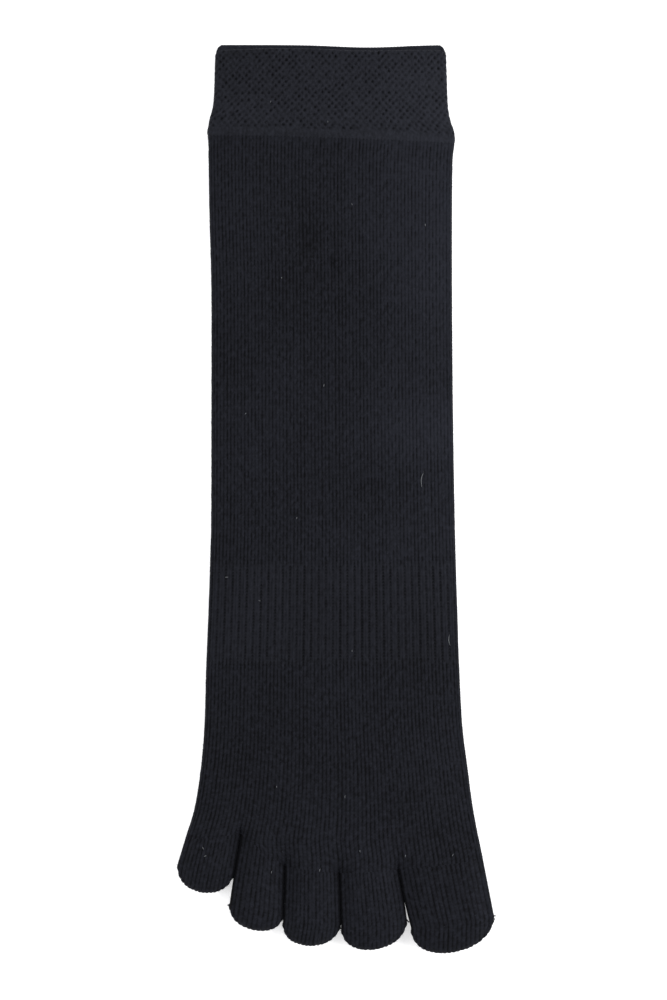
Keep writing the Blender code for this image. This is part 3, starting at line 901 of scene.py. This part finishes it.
def strands(name, paths, radius):
    """Thin three-sided fibres in one mesh, each along a path of as many points, pointed at both ends."""
    count, steps = paths.shape[:2]
    along = unit(np.gradient(paths, axis=1))
    side = unit(np.cross(along, np.array(ASKEW)))
    other = np.cross(along, side)
    thickness = radius * np.sin(np.linspace(0.0, np.pi, steps)) ** 0.5
    turns = np.radians((0.0, 120.0, 240.0, 360.0))
    arms = side[:, :, None] * np.cos(turns)[:, None] + other[:, :, None] * np.sin(turns)[:, None]
    points = paths[:, :, None] + arms * thickness[None, :, None, None]
    bm = bmesh.new()
    bmesh.ops.create_grid(bm, x_segments=3, y_segments=count * steps - 1, size=1.0)
    rows = np.array([(v.co.x, v.co.y) for v in bm.verts])
    column = np.round((rows[:, 0] + 1) / 2 * 3).astype(int)
    row = np.round((rows[:, 1] + 1) / 2 * (count * steps - 1)).astype(int)
    bm.verts.ensure_lookup_table()
    bridges = []
    for face in bm.faces:
        spots = {row[v.index] for v in face.verts}
        if max(spots) % steps == 0:
            bridges.append(face)
    bmesh.ops.delete(bm, geom=bridges, context="FACES_ONLY")
    laid = points.reshape(-1, 4, 3)
    for vert, r, c in zip(bm.verts, row, column):
        vert.co = laid[r, c]
    bmesh.ops.remove_doubles(bm, verts=bm.verts, dist=MERGE_DISTANCE)
    bmesh.ops.recalc_face_normals(bm, faces=bm.faces)
    mesh = bpy.data.meshes.new(name)
    bm.to_mesh(mesh)
    bm.free()
    mesh.shade_smooth()
    piece = bpy.data.objects.new(name, mesh)
    bpy.context.scene.collection.objects.link(piece)
    return piece


def outer_points(piece):
    """(points, outward directions) of the stitched outside of a piece."""
    mesh = piece.data
    points = np.empty(len(mesh.vertices) * 3)
    mesh.vertices.foreach_get("co", points)
    directions = np.empty(len(mesh.vertices) * 3)
    mesh.vertex_normals.foreach_get("vector", directions)
    depth = np.empty(len(mesh.vertices))
    mesh.attributes["Depth"].data.foreach_get("value", depth)
    outside = depth > INSIDE_DEPTH
    return points.reshape(-1, 3)[outside], directions.reshape(-1, 3)[outside]


def all_outer_points():
    """The same of every knitted piece, in the order of their names."""
    pieces = [o for o in bpy.context.scene.objects if o.type == "MESH" and "Depth" in o.data.attributes]
    found = [outer_points(piece) for piece in sorted(pieces, key=lambda o: o.name)]
    return np.concatenate([f[0] for f in found]), np.concatenate([f[1] for f in found])


# How likely a fibre starts on a flat face and how much likelier on a fold, the shortest one's share
# of the length, and how far fibres stand out, lean at random and curl
FLAT_WEIGHT = 0.35
FOLD_WEIGHT = 3
SHORTEST_FIBRE = 0.4
FIBRE_STAND = (0.25, 0.9)
FIBRE_LEAN = 0.8
FIBRE_CURL = (0.1, 0.5)


def make_loose_fibres(sizes):
    """Short yarn ends that stand off the knit, most of them along the folds and edges."""
    points, directions = all_outer_points()
    high = points[:, 2] > sizes.fibre_floor
    points, directions = points[high], directions[high]
    draw = np.random.default_rng(23)
    sideways = 1 - np.abs(directions[:, 2])
    weight = FLAT_WEIGHT + sideways**2 * FOLD_WEIGHT
    picks = draw.choice(len(points), sizes.fibre_count, replace=False, p=weight / weight.sum())
    base, out = points[picks], directions[picks]
    steps = np.linspace(0.0, 1.0, 5)[None, :, None]
    length = sizes.fibre_length * draw.uniform(SHORTEST_FIBRE, 1.0, (len(base), 1, 1))
    lean = unit(draw.normal(size=(len(base), 3)))
    heading = unit(out * draw.uniform(*FIBRE_STAND, (len(base), 1)) + FIBRE_LEAN * lean)
    curl = unit(draw.normal(size=(len(base), 3)))
    paths = base[:, None] + heading[:, None] * steps * length
    paths = paths + curl[:, None] * steps**2 * length * draw.uniform(*FIBRE_CURL, (len(base), 1, 1))
    paths[..., 2] = np.maximum(paths[..., 2], sizes.fibre_floor / 2)
    return strands("loose_fibres", paths, sizes.fibre_radius)


# How far round a speck of lint the knit under it is sought and felt, how thick the knit's upper
# layer is, and how many of its own radii the speck lies and arches above it
LINT_SEARCH = 0.0008
LINT_TOUCH = 0.0007
UPPER_LAYER = 0.002
LINT_LIFT = 0.8
LINT_ARCH = 2

# Pale specks of lint: where each lies in the photograph's frame, its length, its turn in degrees
# and how much it curls
Lint = namedtuple("Lint", "pixel_x pixel_y length turn curl")
LINTS = (
    Lint(227, 577, 0.0012, 5, 0.1),
    Lint(260, 600, 0.0009, 150, 0.2),
    Lint(324, 386, 0.0012, 80, 0.1),
    Lint(352, 206, 0.0009, 120, 0.2),
    Lint(425, 226, 0.0010, 95, 0.2),
    Lint(204, 846, 0.0012, 110, 0.2),
    Lint(206, 854, 0.0011, 20, 0.3),
    Lint(277, 785, 0.0008, 90, 0.2),
    Lint(423, 480, 0.0062, 84, 0.5),
    Lint(352, 650, 0.0008, 90, 0.1),
    Lint(345, 795, 0.0012, 85, 0.2),
    Lint(450, 640, 0.0045, 95, 0.5),
    Lint(360, 849, 0.0010, 95, 0.3),
    Lint(405, 854, 0.0010, 80, 0.3),
    Lint(452, 853, 0.0009, 60, 0.3),
    Lint(272, 870, 0.0011, 80, 0.2),
    Lint(320, 868, 0.0013, 75, 0.3),
    Lint(282, 279, 0.0008, 85, 0.2),
    Lint(246, 414, 0.0009, 45, 0.3),
    Lint(271, 104, 0.0008, 70, 0.2),
    Lint(328, 124, 0.0008, 100, 0.2),
    Lint(297, 518, 0.0008, 60, 0.3),
)


def make_lint(sizes):
    """Lint, laid on the highest stitches under it, with its middle arched a little clear."""
    points, _ = all_outer_points()
    steps = np.linspace(-0.5, 0.5, 7)
    paths = []
    for lint in LINTS:
        x = (lint.pixel_x - SOCK_PIXEL[0]) * PIXEL
        y = (SOCK_PIXEL[1] - lint.pixel_y) * PIXEL
        turn = math.radians(lint.turn)
        heading = np.array((math.cos(turn), math.sin(turn)))
        across = np.array((-math.sin(turn), math.cos(turn)))
        bow = lint.curl * lint.length * (0.25 - steps**2)
        plan = np.array((x, y)) + steps[:, None] * lint.length * heading + bow[:, None] * across
        near = np.hypot(points[:, 0] - x, points[:, 1] - y) < lint.length / 2 + LINT_SEARCH
        nearby = points[near]
        top = nearby[nearby[:, 2] > nearby[:, 2].max() - UPPER_LAYER]
        apart = np.hypot(plan[:, None, 0] - top[None, :, 0], plan[:, None, 1] - top[None, :, 1])
        height = np.array([top[row < LINT_TOUCH][:, 2].max() for row in apart])
        lift = sizes.lint_radius * (LINT_LIFT + LINT_ARCH * np.cos(steps * math.pi))
        paths.append(np.column_stack((plan, height + lift)))
    return strands("lint", np.array(paths), sizes.lint_radius)


# Where a tip's seam ends in a small stub of yarn: the toe's number and its side
TIP_STUBS = ((1, -1), (4, 1), (3, 1), (3, -1))
STUB_STRANDS = 5
STUB_SPREAD = 0.0003
STUB_AIM = (-0.35, 0.25)
STUB_TANGLE = 0.35
STUB_SAG = (0.0, -0.3, -0.3)
SHORTEST_STUB = 0.5


def make_seam_ends(sizes):
    """The stubs of yarn left at the sides of the toes' tips."""
    draw = np.random.default_rng(5)
    paths = []
    for index, side in TIP_STUBS:
        toe = TOES[index]
        reach = toe.left if side < 0 else toe.right
        end = toe_side_line(index + (side > 0), -side, reach)[-1]
        base = np.array((AXIS_X + end[0] - side * STUB_SPREAD, TOP_Y - end[1], TOE_LOFTS[index] / 2))
        for _ in range(STUB_STRANDS):
            aim = unit(np.array((side, *STUB_AIM)) + draw.normal(scale=STUB_TANGLE, size=3))
            steps = np.linspace(0.0, 1.0, 5)[:, None]
            sag = np.array(STUB_SAG) * steps**2
            length = sizes.stub_length * draw.uniform(SHORTEST_STUB, 1.0)
            paths.append(base + draw.normal(scale=STUB_SPREAD, size=3) + (aim * steps + sag) * length)
    return strands("seam_ends", np.array(paths), sizes.stub_radius)


class Shade:
    """A socket's value in an expression. Arithmetic on it adds Math nodes."""

    def __init__(self, finish, socket):
        self.finish = finish
        self.socket = socket

    def math(self, operation, *values):
        sockets = dict(enumerate(values))
        return self.finish.node("ShaderNodeMath", {"operation": operation}, sockets)

    def __add__(self, other):
        return self.math("ADD", self, other)

    def __sub__(self, other):
        return self.math("SUBTRACT", self, other)

    def __rsub__(self, other):
        return self.math("SUBTRACT", other, self)

    def __mul__(self, other):
        return self.math("MULTIPLY", self, other)

    __radd__ = __add__
    __rmul__ = __mul__

    def fraction(self):
        return self.math("FRACT", self)

    def size(self):
        return self.math("ABSOLUTE", self)


class Finish:
    """A material under construction."""

    def __init__(self, name):
        self.material = bpy.data.materials.new(name)
        self.material.use_nodes = True
        self.tree = self.material.node_tree
        self.tree.nodes.clear()

    def node(self, kind, settings=None, sockets=None, output=0):
        """Adds a node: its settings first, then values or links for its sockets."""
        made = self.tree.nodes.new(kind)
        for setting, value in (settings or {}).items():
            setattr(made, setting, value)
        for socket, value in (sockets or {}).items():
            if isinstance(value, Shade):
                self.tree.links.new(value.socket, made.inputs[socket])
            else:
                made.inputs[socket].default_value = value
        return Shade(self, made.outputs[output])

    def noise(self, place, scale, detail=2.0):
        sockets = {"Vector": place, "Scale": scale, "Detail": detail}
        return self.node("ShaderNodeTexNoise", None, sockets)

    def blend(self, dark, light, share):
        """A colour between two others."""
        settings = {"data_type": "RGBA", "clamp_factor": True}
        return self.node("ShaderNodeMix", settings, {0: share, 6: dark, 7: light}, output=2)

    def surface(self, **sockets):
        """Ends the material in a Principled surface. Names use _ where its sockets have a space."""
        named = {name.replace("_", " "): value for name, value in sockets.items()}
        shader = self.node("ShaderNodeBsdfPrincipled", None, named)
        output = self.tree.nodes.new("ShaderNodeOutputMaterial")
        self.tree.links.new(shader.socket, output.inputs["Surface"])
        return self.material


# How far the yarn's pattern changes over a wale and a course, coarse for the stitches and fine for
# the fibres, which slant along each stitch's legs, and the palest that painted light may make the
# knit, which the inside gets as well
STITCH_CHANGES = (1.1, 0.7)
FIBRE_CHANGES = (7.0, 2.0)
FIBRE_SLANT = 5.0
FIBRE_SCALE = 1.3
GRAIN_SHARES = (0.6, 0.4)
ROUGHNESS_RANGE = 0.12
PALEST_DEPTH = -0.5
LOOSE_DARK_SHARE = 0.6


def dark_and_light(colour, dark_share):
    """A darker and a lighter colour, as far below and above the given one."""
    return [(*[channel * share for channel in colour], 1.0) for share in (dark_share, 2 - dark_share)]


def knit_finish(name, colour, colours, rows_a_course=1.0):
    """Dyed yarn: heathered colour, with painted shade between stitches and painted light and shade at
    each point, and fibres that run along each leg.
    """
    finish = Finish(name)
    place = finish.node("ShaderNodeTexCoord", output="Object")
    knit_map = finish.node("ShaderNodeUVMap", {"uv_map": "Knit"})
    wale = finish.node("ShaderNodeSeparateXYZ", None, {0: knit_map}, output="X")
    course = finish.node("ShaderNodeSeparateXYZ", None, {0: knit_map}, output="Y")
    # The painted shade share: painted shade in hollows and crevices, painted light and highlights where
    # negative
    depth = finish.node("ShaderNodeAttribute", {"attribute_name": "Depth"}, output="Fac")
    depth = finish.node("ShaderNodeMath", {"operation": "MAXIMUM"}, {0: depth, 1: PALEST_DEPTH})
    heather = finish.noise(place, colours.heather_scale)
    patches = finish.noise(place, colours.patch_scale)
    across, along = STITCH_CHANGES
    sockets = {"X": wale * across, "Y": course * along * rows_a_course, "Z": 0.0}
    stitches = finish.noise(finish.node("ShaderNodeCombineXYZ", None, sockets), 1.0, detail=3.0)
    # Heather, patches and stitches vary the tone at random; the painted shade share adds painted shade
    # and painted light
    shade = colours.base + (heather - 0.5) * colours.heather + (patches - 0.5) * colours.patches
    shade = shade + (stitches - 0.5) * colours.stitches - depth * colours.hollow_shade
    dark, light = dark_and_light(colour, colours.dark_share)
    leg = (wale.fraction() - 0.5).size()
    across, along = FIBRE_CHANGES
    sockets = {"X": wale * across, "Y": course * along * rows_a_course + leg * FIBRE_SLANT, "Z": 0.0}
    along_yarn = finish.node("ShaderNodeCombineXYZ", None, sockets)
    fibres = finish.noise(along_yarn, FIBRE_SCALE, detail=3.0)
    grain = fibres * GRAIN_SHARES[0] + heather * GRAIN_SHARES[1]
    sockets = {"Strength": colours.fibre_strength, "Distance": colours.fibre_height, "Height": grain}
    bump = finish.node("ShaderNodeBump", None, sockets)
    return finish.surface(
        Base_Color=finish.blend(dark, light, shade + (fibres - 0.5) * colours.heather),
        Roughness=colours.roughness + (heather - 0.5) * ROUGHNESS_RANGE,
        Normal=bump,
        Sheen_Weight=colours.sheen,
        Sheen_Roughness=colours.sheen_roughness,
        Sheen_Tint=(*colours.sheen_tint, 1.0),
        Specular_IOR_Level=colours.specular,
    )


def fibre_finish(name, colour, colours):
    """Loose fibres, mottled along their length."""
    finish = Finish(name)
    place = finish.node("ShaderNodeTexCoord", output="Object")
    mottle = finish.noise(place, colours.heather_scale)
    dark, light = dark_and_light(colour, LOOSE_DARK_SHARE)
    sockets = {"Strength": 0.2, "Distance": colours.fibre_height, "Height": mottle}
    return finish.surface(
        Base_Color=finish.blend(dark, light, mottle),
        Roughness=0.8 + (mottle - 0.5) * 0.2,
        Normal=finish.node("ShaderNodeBump", None, sockets),
        Sheen_Weight=colours.sheen,
    )


def floor_finish(colours):
    """The pale floor, with the faintest paper grain."""
    finish = Finish("pale_floor")
    place = finish.node("ShaderNodeTexCoord", output="Object")
    grain = finish.noise(place, 180.0)
    dark = (*[channel * 0.995 for channel in colours.floor], 1.0)
    return finish.surface(
        Base_Color=finish.blend(dark, (*colours.floor, 1.0), grain),
        Roughness=0.9 + (grain - 0.5) * 0.04,
        Specular_IOR_Level=0.1,
        Emission_Color=(*colours.floor, 1.0),
        Emission_Strength=colours.floor_glow,
    )


def length_size(name, description, default):
    return FloatProperty(name=name, description=description, default=default, unit="LENGTH", precision=5)


def plain_size(name, description, default):
    return FloatProperty(name=name, description=description, default=default)


def colour_size(name, description, default):
    return FloatVectorProperty(name=name, description=description, default=default, subtype="COLOR")


class SockKnitSizes(bpy.types.PropertyGroup):
    """The knit's own sizes."""

    course: length_size("Course", "Height of one row of stitches", 0.00111)
    wall: length_size("Wall", "Thickness of the knitted wall", 0.0013)
    groove_depth: length_size("Groove", "Depth between two wales", 0.00026)
    notch_depth: length_size("Notch", "Depth between the two legs of a stitch", 0.00008)
    stitch_bulge: length_size("Stitch bulge", "How far each stitch swells", 0.00010)
    unevenness: length_size("Unevenness", "How far stitches differ", 0.00004)
    rib_depth: length_size("Rib depth", "Depth of the arch band's furrows", 0.00050)
    dimple_depth: length_size("Dimple depth", "Depth of the cuff's dimples", 0.00055)
    dimple_pitch: length_size("Dimple pitch", "Distance between dimples down a wale", 0.00261)
    roll_depth: length_size("Roll", "Height of the plain roll at the cuff's base", 0.0028)
    roll_height: length_size("Roll height", "How far the roll stands out", 0.00030)
    tip_scallop: plain_size("Tip scallop", "How deep the grooves are at a toe's edge", 1.3)
    proud: length_size("Standing out", "How far the yarn stands off the solids", 0.0003)
    cuff_proud: length_size("Cuff standing out", "How far the cuff's yarn does", 0.00045)
    fibre_count: IntProperty(name="Loose fibres", description="How many stand off the knit", default=3000)
    fibre_length: length_size("Fibre length", "Length of the longest loose fibre", 0.0011)
    fibre_radius: length_size("Fibre radius", "Half the thickness of a loose fibre", 0.00002)
    fibre_floor: length_size("Fibre floor", "Lowest place a loose fibre starts from", 0.0010)
    lint_radius: length_size("Lint radius", "Half the thickness of a speck of lint", 0.00010)
    stub_length: length_size("Seam end length", "Length of the stubs at the toes' tips", 0.0013)
    stub_radius: length_size("Seam end radius", "Half the thickness of those stubs", 0.00022)


class SockYarnColours(bpy.types.PropertyGroup):
    """The yarn's colours and how they vary."""

    body: colour_size("Body yarn", "The leg's and foot's black", (0.0080, 0.0086, 0.0121))
    cuff: colour_size("Cuff yarn", "The cuff's black", (0.0093, 0.0099, 0.0134))
    arch: colour_size("Arch yarn", "The arch band's black", (0.0083, 0.0089, 0.0123))
    fibres: colour_size("Loose fibres", "Single fibres, which look paler", (0.018, 0.022, 0.030))
    lint: colour_size("Lint", "Pale specks on the knit", (0.16, 0.17, 0.18))
    floor: colour_size("Floor", "The studio floor", (0.93, 0.93, 0.935))
    floor_glow: plain_size("Floor glow", "How brightly the floor is lit from below", 0.55)
    roughness: plain_size("Roughness", "The yarn's mean roughness", 0.9)
    sheen: plain_size("Sheen", "How much the fuzz catches light at a slant", 0.01)
    sheen_roughness: plain_size("Sheen roughness", "How widely the fuzz scatters it", 0.5)
    sheen_tint: colour_size("Sheen tint", "The colour of that light", (0.75, 0.85, 1.0))
    specular: plain_size("Specular", "How strongly the yarn reflects", 0.09)
    dark_share: plain_size("Dark share", "The darkest yarn as a share of its colour", 0.25)
    heather: plain_size("Heather", "How much fine mottling the yarn shows", 0.5)
    heather_scale: plain_size("Heather scale", "How fine that mottling is", 1400.0)
    stitches: plain_size("Stitches", "How much single stitches differ", 1.1)
    patches: plain_size("Patches", "How much broad areas differ", 0.35)
    patch_scale: plain_size("Patch scale", "How broad those areas are", 28.0)
    base: plain_size("Base", "The share between dark and light yarn on a stitch's top", 0.71)
    hollow_shade: plain_size("Hollow shade", "How much darker the knit's hollows are", 0.62)
    fibre_strength: plain_size("Fibre relief", "How strongly the fibres show", 0.5)
    fibre_height: length_size("Fibre height", "Height of the fibres' relief", 0.00006)


class SockStageSizes(bpy.types.PropertyGroup):
    """The camera and the lights."""

    camera_height: length_size("Camera height", "How high the camera looks down from", 1.2)
    sensor: plain_size("Sensor", "The camera's long side in millimetres", 36.0)
    floor_side: length_size("Floor side", "The floor's width and depth", 6.0)
    surround: plain_size("Surround", "Brightness of the white surround", 0.5)
    left_power: plain_size("Left light", "Power of the soft light on the left", 15.0)
    right_power: plain_size("Right light", "Power of the soft light on the right", 27.0)
    left_rise: plain_size("Left rise", "How high the left light is for each step aside", 0.65)
    right_rise: plain_size("Right rise", "How high the right light is for each step aside", 0.65)
    light_side: length_size("Light side", "Width of each soft light", 1.2)
    light_distance: length_size("Light distance", "How far each light is", 1.5)


def dress(piece, finish, slot, *nodes):
    """Gives a piece its material, lets it ride on the body, and retires its solid. The slot is not used.
    """
    piece.data.materials.append(finish)
    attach(piece, "root")
    if nodes:
        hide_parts(*nodes)


def lay_floor(stage, colours):
    bm = bmesh.new()
    bmesh.ops.create_grid(bm, x_segments=4, y_segments=4, size=stage.floor_side / 2)
    mesh = bpy.data.meshes.new("floor")
    bm.to_mesh(mesh)
    bm.free()
    mesh.materials.append(floor_finish(colours))
    floor = bpy.data.objects.new("floor", mesh)
    bpy.context.scene.collection.objects.link(floor)


# How far each soft light is moved towards the cuff for each step aside
LIGHT_SHIFT = 0.1


def hang_softbox(name, side, power, rise, stage):
    """A square soft light, up and out to one side, that faces the sock."""
    data = bpy.data.lights.new(name, "AREA")
    data.energy = power
    data.size = stage.light_side
    light = bpy.data.objects.new(name, data)
    light.location = Vector((side, LIGHT_SHIFT, rise)).normalized() * stage.light_distance
    light.rotation_mode = "QUATERNION"
    light.rotation_quaternion = light.location.to_track_quat("Z", "Y")
    bpy.context.scene.collection.objects.link(light)


def place_camera(stage):
    """A camera that looks straight down and takes in the photograph's frame."""
    data = bpy.data.cameras.new("camera")
    data.sensor_width = stage.sensor
    data.lens = stage.sensor * (stage.camera_height - TOE_FOLD / 2) / (FRAME_HEIGHT * PIXEL)
    camera = bpy.data.objects.new("camera", data)
    x = (FRAME_WIDTH / 2 - SOCK_PIXEL[0]) * PIXEL
    y = (SOCK_PIXEL[1] - FRAME_HEIGHT / 2) * PIXEL
    camera.location = (x, y, stage.camera_height)
    bpy.context.scene.collection.objects.link(camera)
    return camera


class SOCK_OT_cuff(bpy.types.Operator):
    """Knit the dimpled cuff"""

    bl_idname = "sock.cuff"
    bl_label = "Cuff"

    def execute(self, context):
        sizes, colours = context.scene.sock_knit, context.scene.sock_colours
        finish = knit_finish("cuff_yarn", colours.cuff, colours, sizes.dimple_pitch / sizes.course)
        dress(make_cuff(sizes), finish, "cuff_knit", "cuff")
        return {"FINISHED"}


class SOCK_OT_leg(bpy.types.Operator):
    """Knit the plain leg and the heel's patch"""

    bl_idname = "sock.leg"
    bl_label = "Leg and heel"

    def execute(self, context):
        sizes, colours = context.scene.sock_knit, context.scene.sock_colours
        rows = course_rows(LEG_LENGTH, sizes)
        leg = body_piece("leg_knit", (0, RING_WALES), cuff_join, leg_end, rows, leg_jersey, sizes)
        dress(leg, knit_finish("leg_yarn", colours.body, colours), "plain_knit", "leg")
        heel = make_heel(sizes)
        dress(heel, knit_finish("heel_yarn", colours.body, colours), "heel_knit", "heel")
        return {"FINISHED"}


class SOCK_OT_foot(bpy.types.Operator):
    """Knit the instep, the sole and the forefoot"""

    bl_idname = "sock.foot"
    bl_label = "Foot"

    def execute(self, context):
        sizes, colours = context.scene.sock_knit, context.scene.sock_colours
        finish = knit_finish("foot_yarn", colours.body, colours)
        rows = course_rows(INSTEP_LENGTH, sizes)
        arch_start = level(zone_place("arch", 0.0))
        spans = (("instep_knit", (FACE_WALES, RING_WALES)), ("sole_knit", (0, FACE_WALES)))
        for name, span in spans:
            piece = body_piece(name, span, instep_start, arch_start, rows, jersey, sizes)
            dress(piece, finish, "plain_knit", "instep")
        rows = course_rows(FOREFOOT_LENGTH, sizes)
        arch_end = level(zone_place("arch", 1.0))
        forefoot = body_piece(
            "forefoot_knit", (0, RING_WALES), arch_end, forefoot_end, rows, jersey, sizes,
            bend=2.0, fades=(1.0, 0.0),
        )
        dress(forefoot, finish, "plain_knit", "forefoot")
        return {"FINISHED"}


class SOCK_OT_arch(bpy.types.Operator):
    """Knit the ribbed band round the arch"""

    bl_idname = "sock.arch"
    bl_label = "Arch band"

    def execute(self, context):
        sizes, colours = context.scene.sock_knit, context.scene.sock_colours
        start, end = level(zone_place("arch", 0.0)), level(zone_place("arch", 1.0))
        rows = course_rows(ARCH_LENGTH, sizes)
        piece = body_piece("arch_knit", (0, RING_WALES), start, end, rows, ribbing, sizes)
        dress(piece, knit_finish("arch_yarn", colours.arch, colours), "arch_rib", "arch_band")
        return {"FINISHED"}


class SOCK_OT_toes(bpy.types.Operator):
    """Knit the five toes"""

    bl_idname = "sock.toes"
    bl_label = "Toes"

    def execute(self, context):
        sizes, colours = context.scene.sock_knit, context.scene.sock_colours
        finish = knit_finish("toe_yarn", colours.body, colours)
        for index, toe in enumerate(TOES):
            dress(make_toe(index, sizes), finish, "toe_knit", toe.name)
        return {"FINISHED"}


class SOCK_OT_fibres(bpy.types.Operator):
    """Add the loose fibres, the lint and the yarn ends at the toes' tips"""

    bl_idname = "sock.fibres"
    bl_label = "Loose fibres and lint"

    def execute(self, context):
        sizes, colours = context.scene.sock_knit, context.scene.sock_colours
        lint = make_lint(sizes)
        fibres = make_loose_fibres(sizes)
        ends = make_seam_ends(sizes)
        dress(lint, fibre_finish("lint_fibre", colours.lint, colours), "plain_knit")
        dress(fibres, fibre_finish("loose_fibre", colours.fibres, colours), "plain_knit")
        dress(ends, fibre_finish("seam_yarn", colours.body, colours), "toe_knit")
        return {"FINISHED"}


class SOCK_OT_stage(bpy.types.Operator):
    """Lay the pale floor, and set the lights and the camera above it"""

    bl_idname = "sock.stage"
    bl_label = "Floor, lights and camera"

    def execute(self, context):
        stage, colours = context.scene.sock_stage, context.scene.sock_colours
        lay_floor(stage, colours)
        hang_softbox("left_softbox", -1, stage.left_power, stage.left_rise, stage)
        hang_softbox("right_softbox", 1, stage.right_power, stage.right_rise, stage)
        world = bpy.data.worlds.new("surround")
        world.use_nodes = True
        world.node_tree.nodes["Background"].inputs["Color"].default_value = (1.0, 1.0, 1.0, 1.0)
        world.node_tree.nodes["Background"].inputs["Strength"].default_value = stage.surround
        context.scene.world = world
        context.scene.camera = place_camera(stage)
        context.scene.view_settings.view_transform = "Standard"
        return {"FINISHED"}


class SOCK_PT_sidebar(bpy.types.Panel):
    """The sock's steps, in the order that they are run"""

    bl_label = "Toe Sock"
    bl_space_type = "VIEW_3D"
    bl_region_type = "UI"
    bl_category = "Toe Sock"

    def draw(self, context):
        for operator in OPERATORS:
            self.layout.operator(operator.bl_idname)
        for name in ("sock_knit", "sock_colours", "sock_stage"):
            group = getattr(context.scene, name)
            box = self.layout.box()
            for size in group.bl_rna.properties.keys():
                if size not in ("rna_type", "name"):
                    box.prop(group, size)


SETTINGS = (SockKnitSizes, SockYarnColours, SockStageSizes)
OPERATORS = (
    SOCK_OT_cuff,
    SOCK_OT_leg,
    SOCK_OT_foot,
    SOCK_OT_arch,
    SOCK_OT_toes,
    SOCK_OT_fibres,
    SOCK_OT_stage,
)
CLASSES = (*SETTINGS, *OPERATORS, SOCK_PT_sidebar)


def register():
    for made in CLASSES:
        bpy.utils.register_class(made)
    bpy.types.Scene.sock_knit = PointerProperty(type=SockKnitSizes)
    bpy.types.Scene.sock_colours = PointerProperty(type=SockYarnColours)
    bpy.types.Scene.sock_stage = PointerProperty(type=SockStageSizes)


def unregister():
    del bpy.types.Scene.sock_stage
    del bpy.types.Scene.sock_colours
    del bpy.types.Scene.sock_knit
    for made in reversed(CLASSES):
        bpy.utils.unregister_class(made)


def main():
    register()
    bpy.ops.sock.cuff()
    bpy.ops.sock.leg()
    bpy.ops.sock.foot()
    bpy.ops.sock.arch()
    bpy.ops.sock.toes()
    bpy.ops.sock.fibres()
    bpy.ops.sock.stage()


if __name__ == "__main__":
    main()
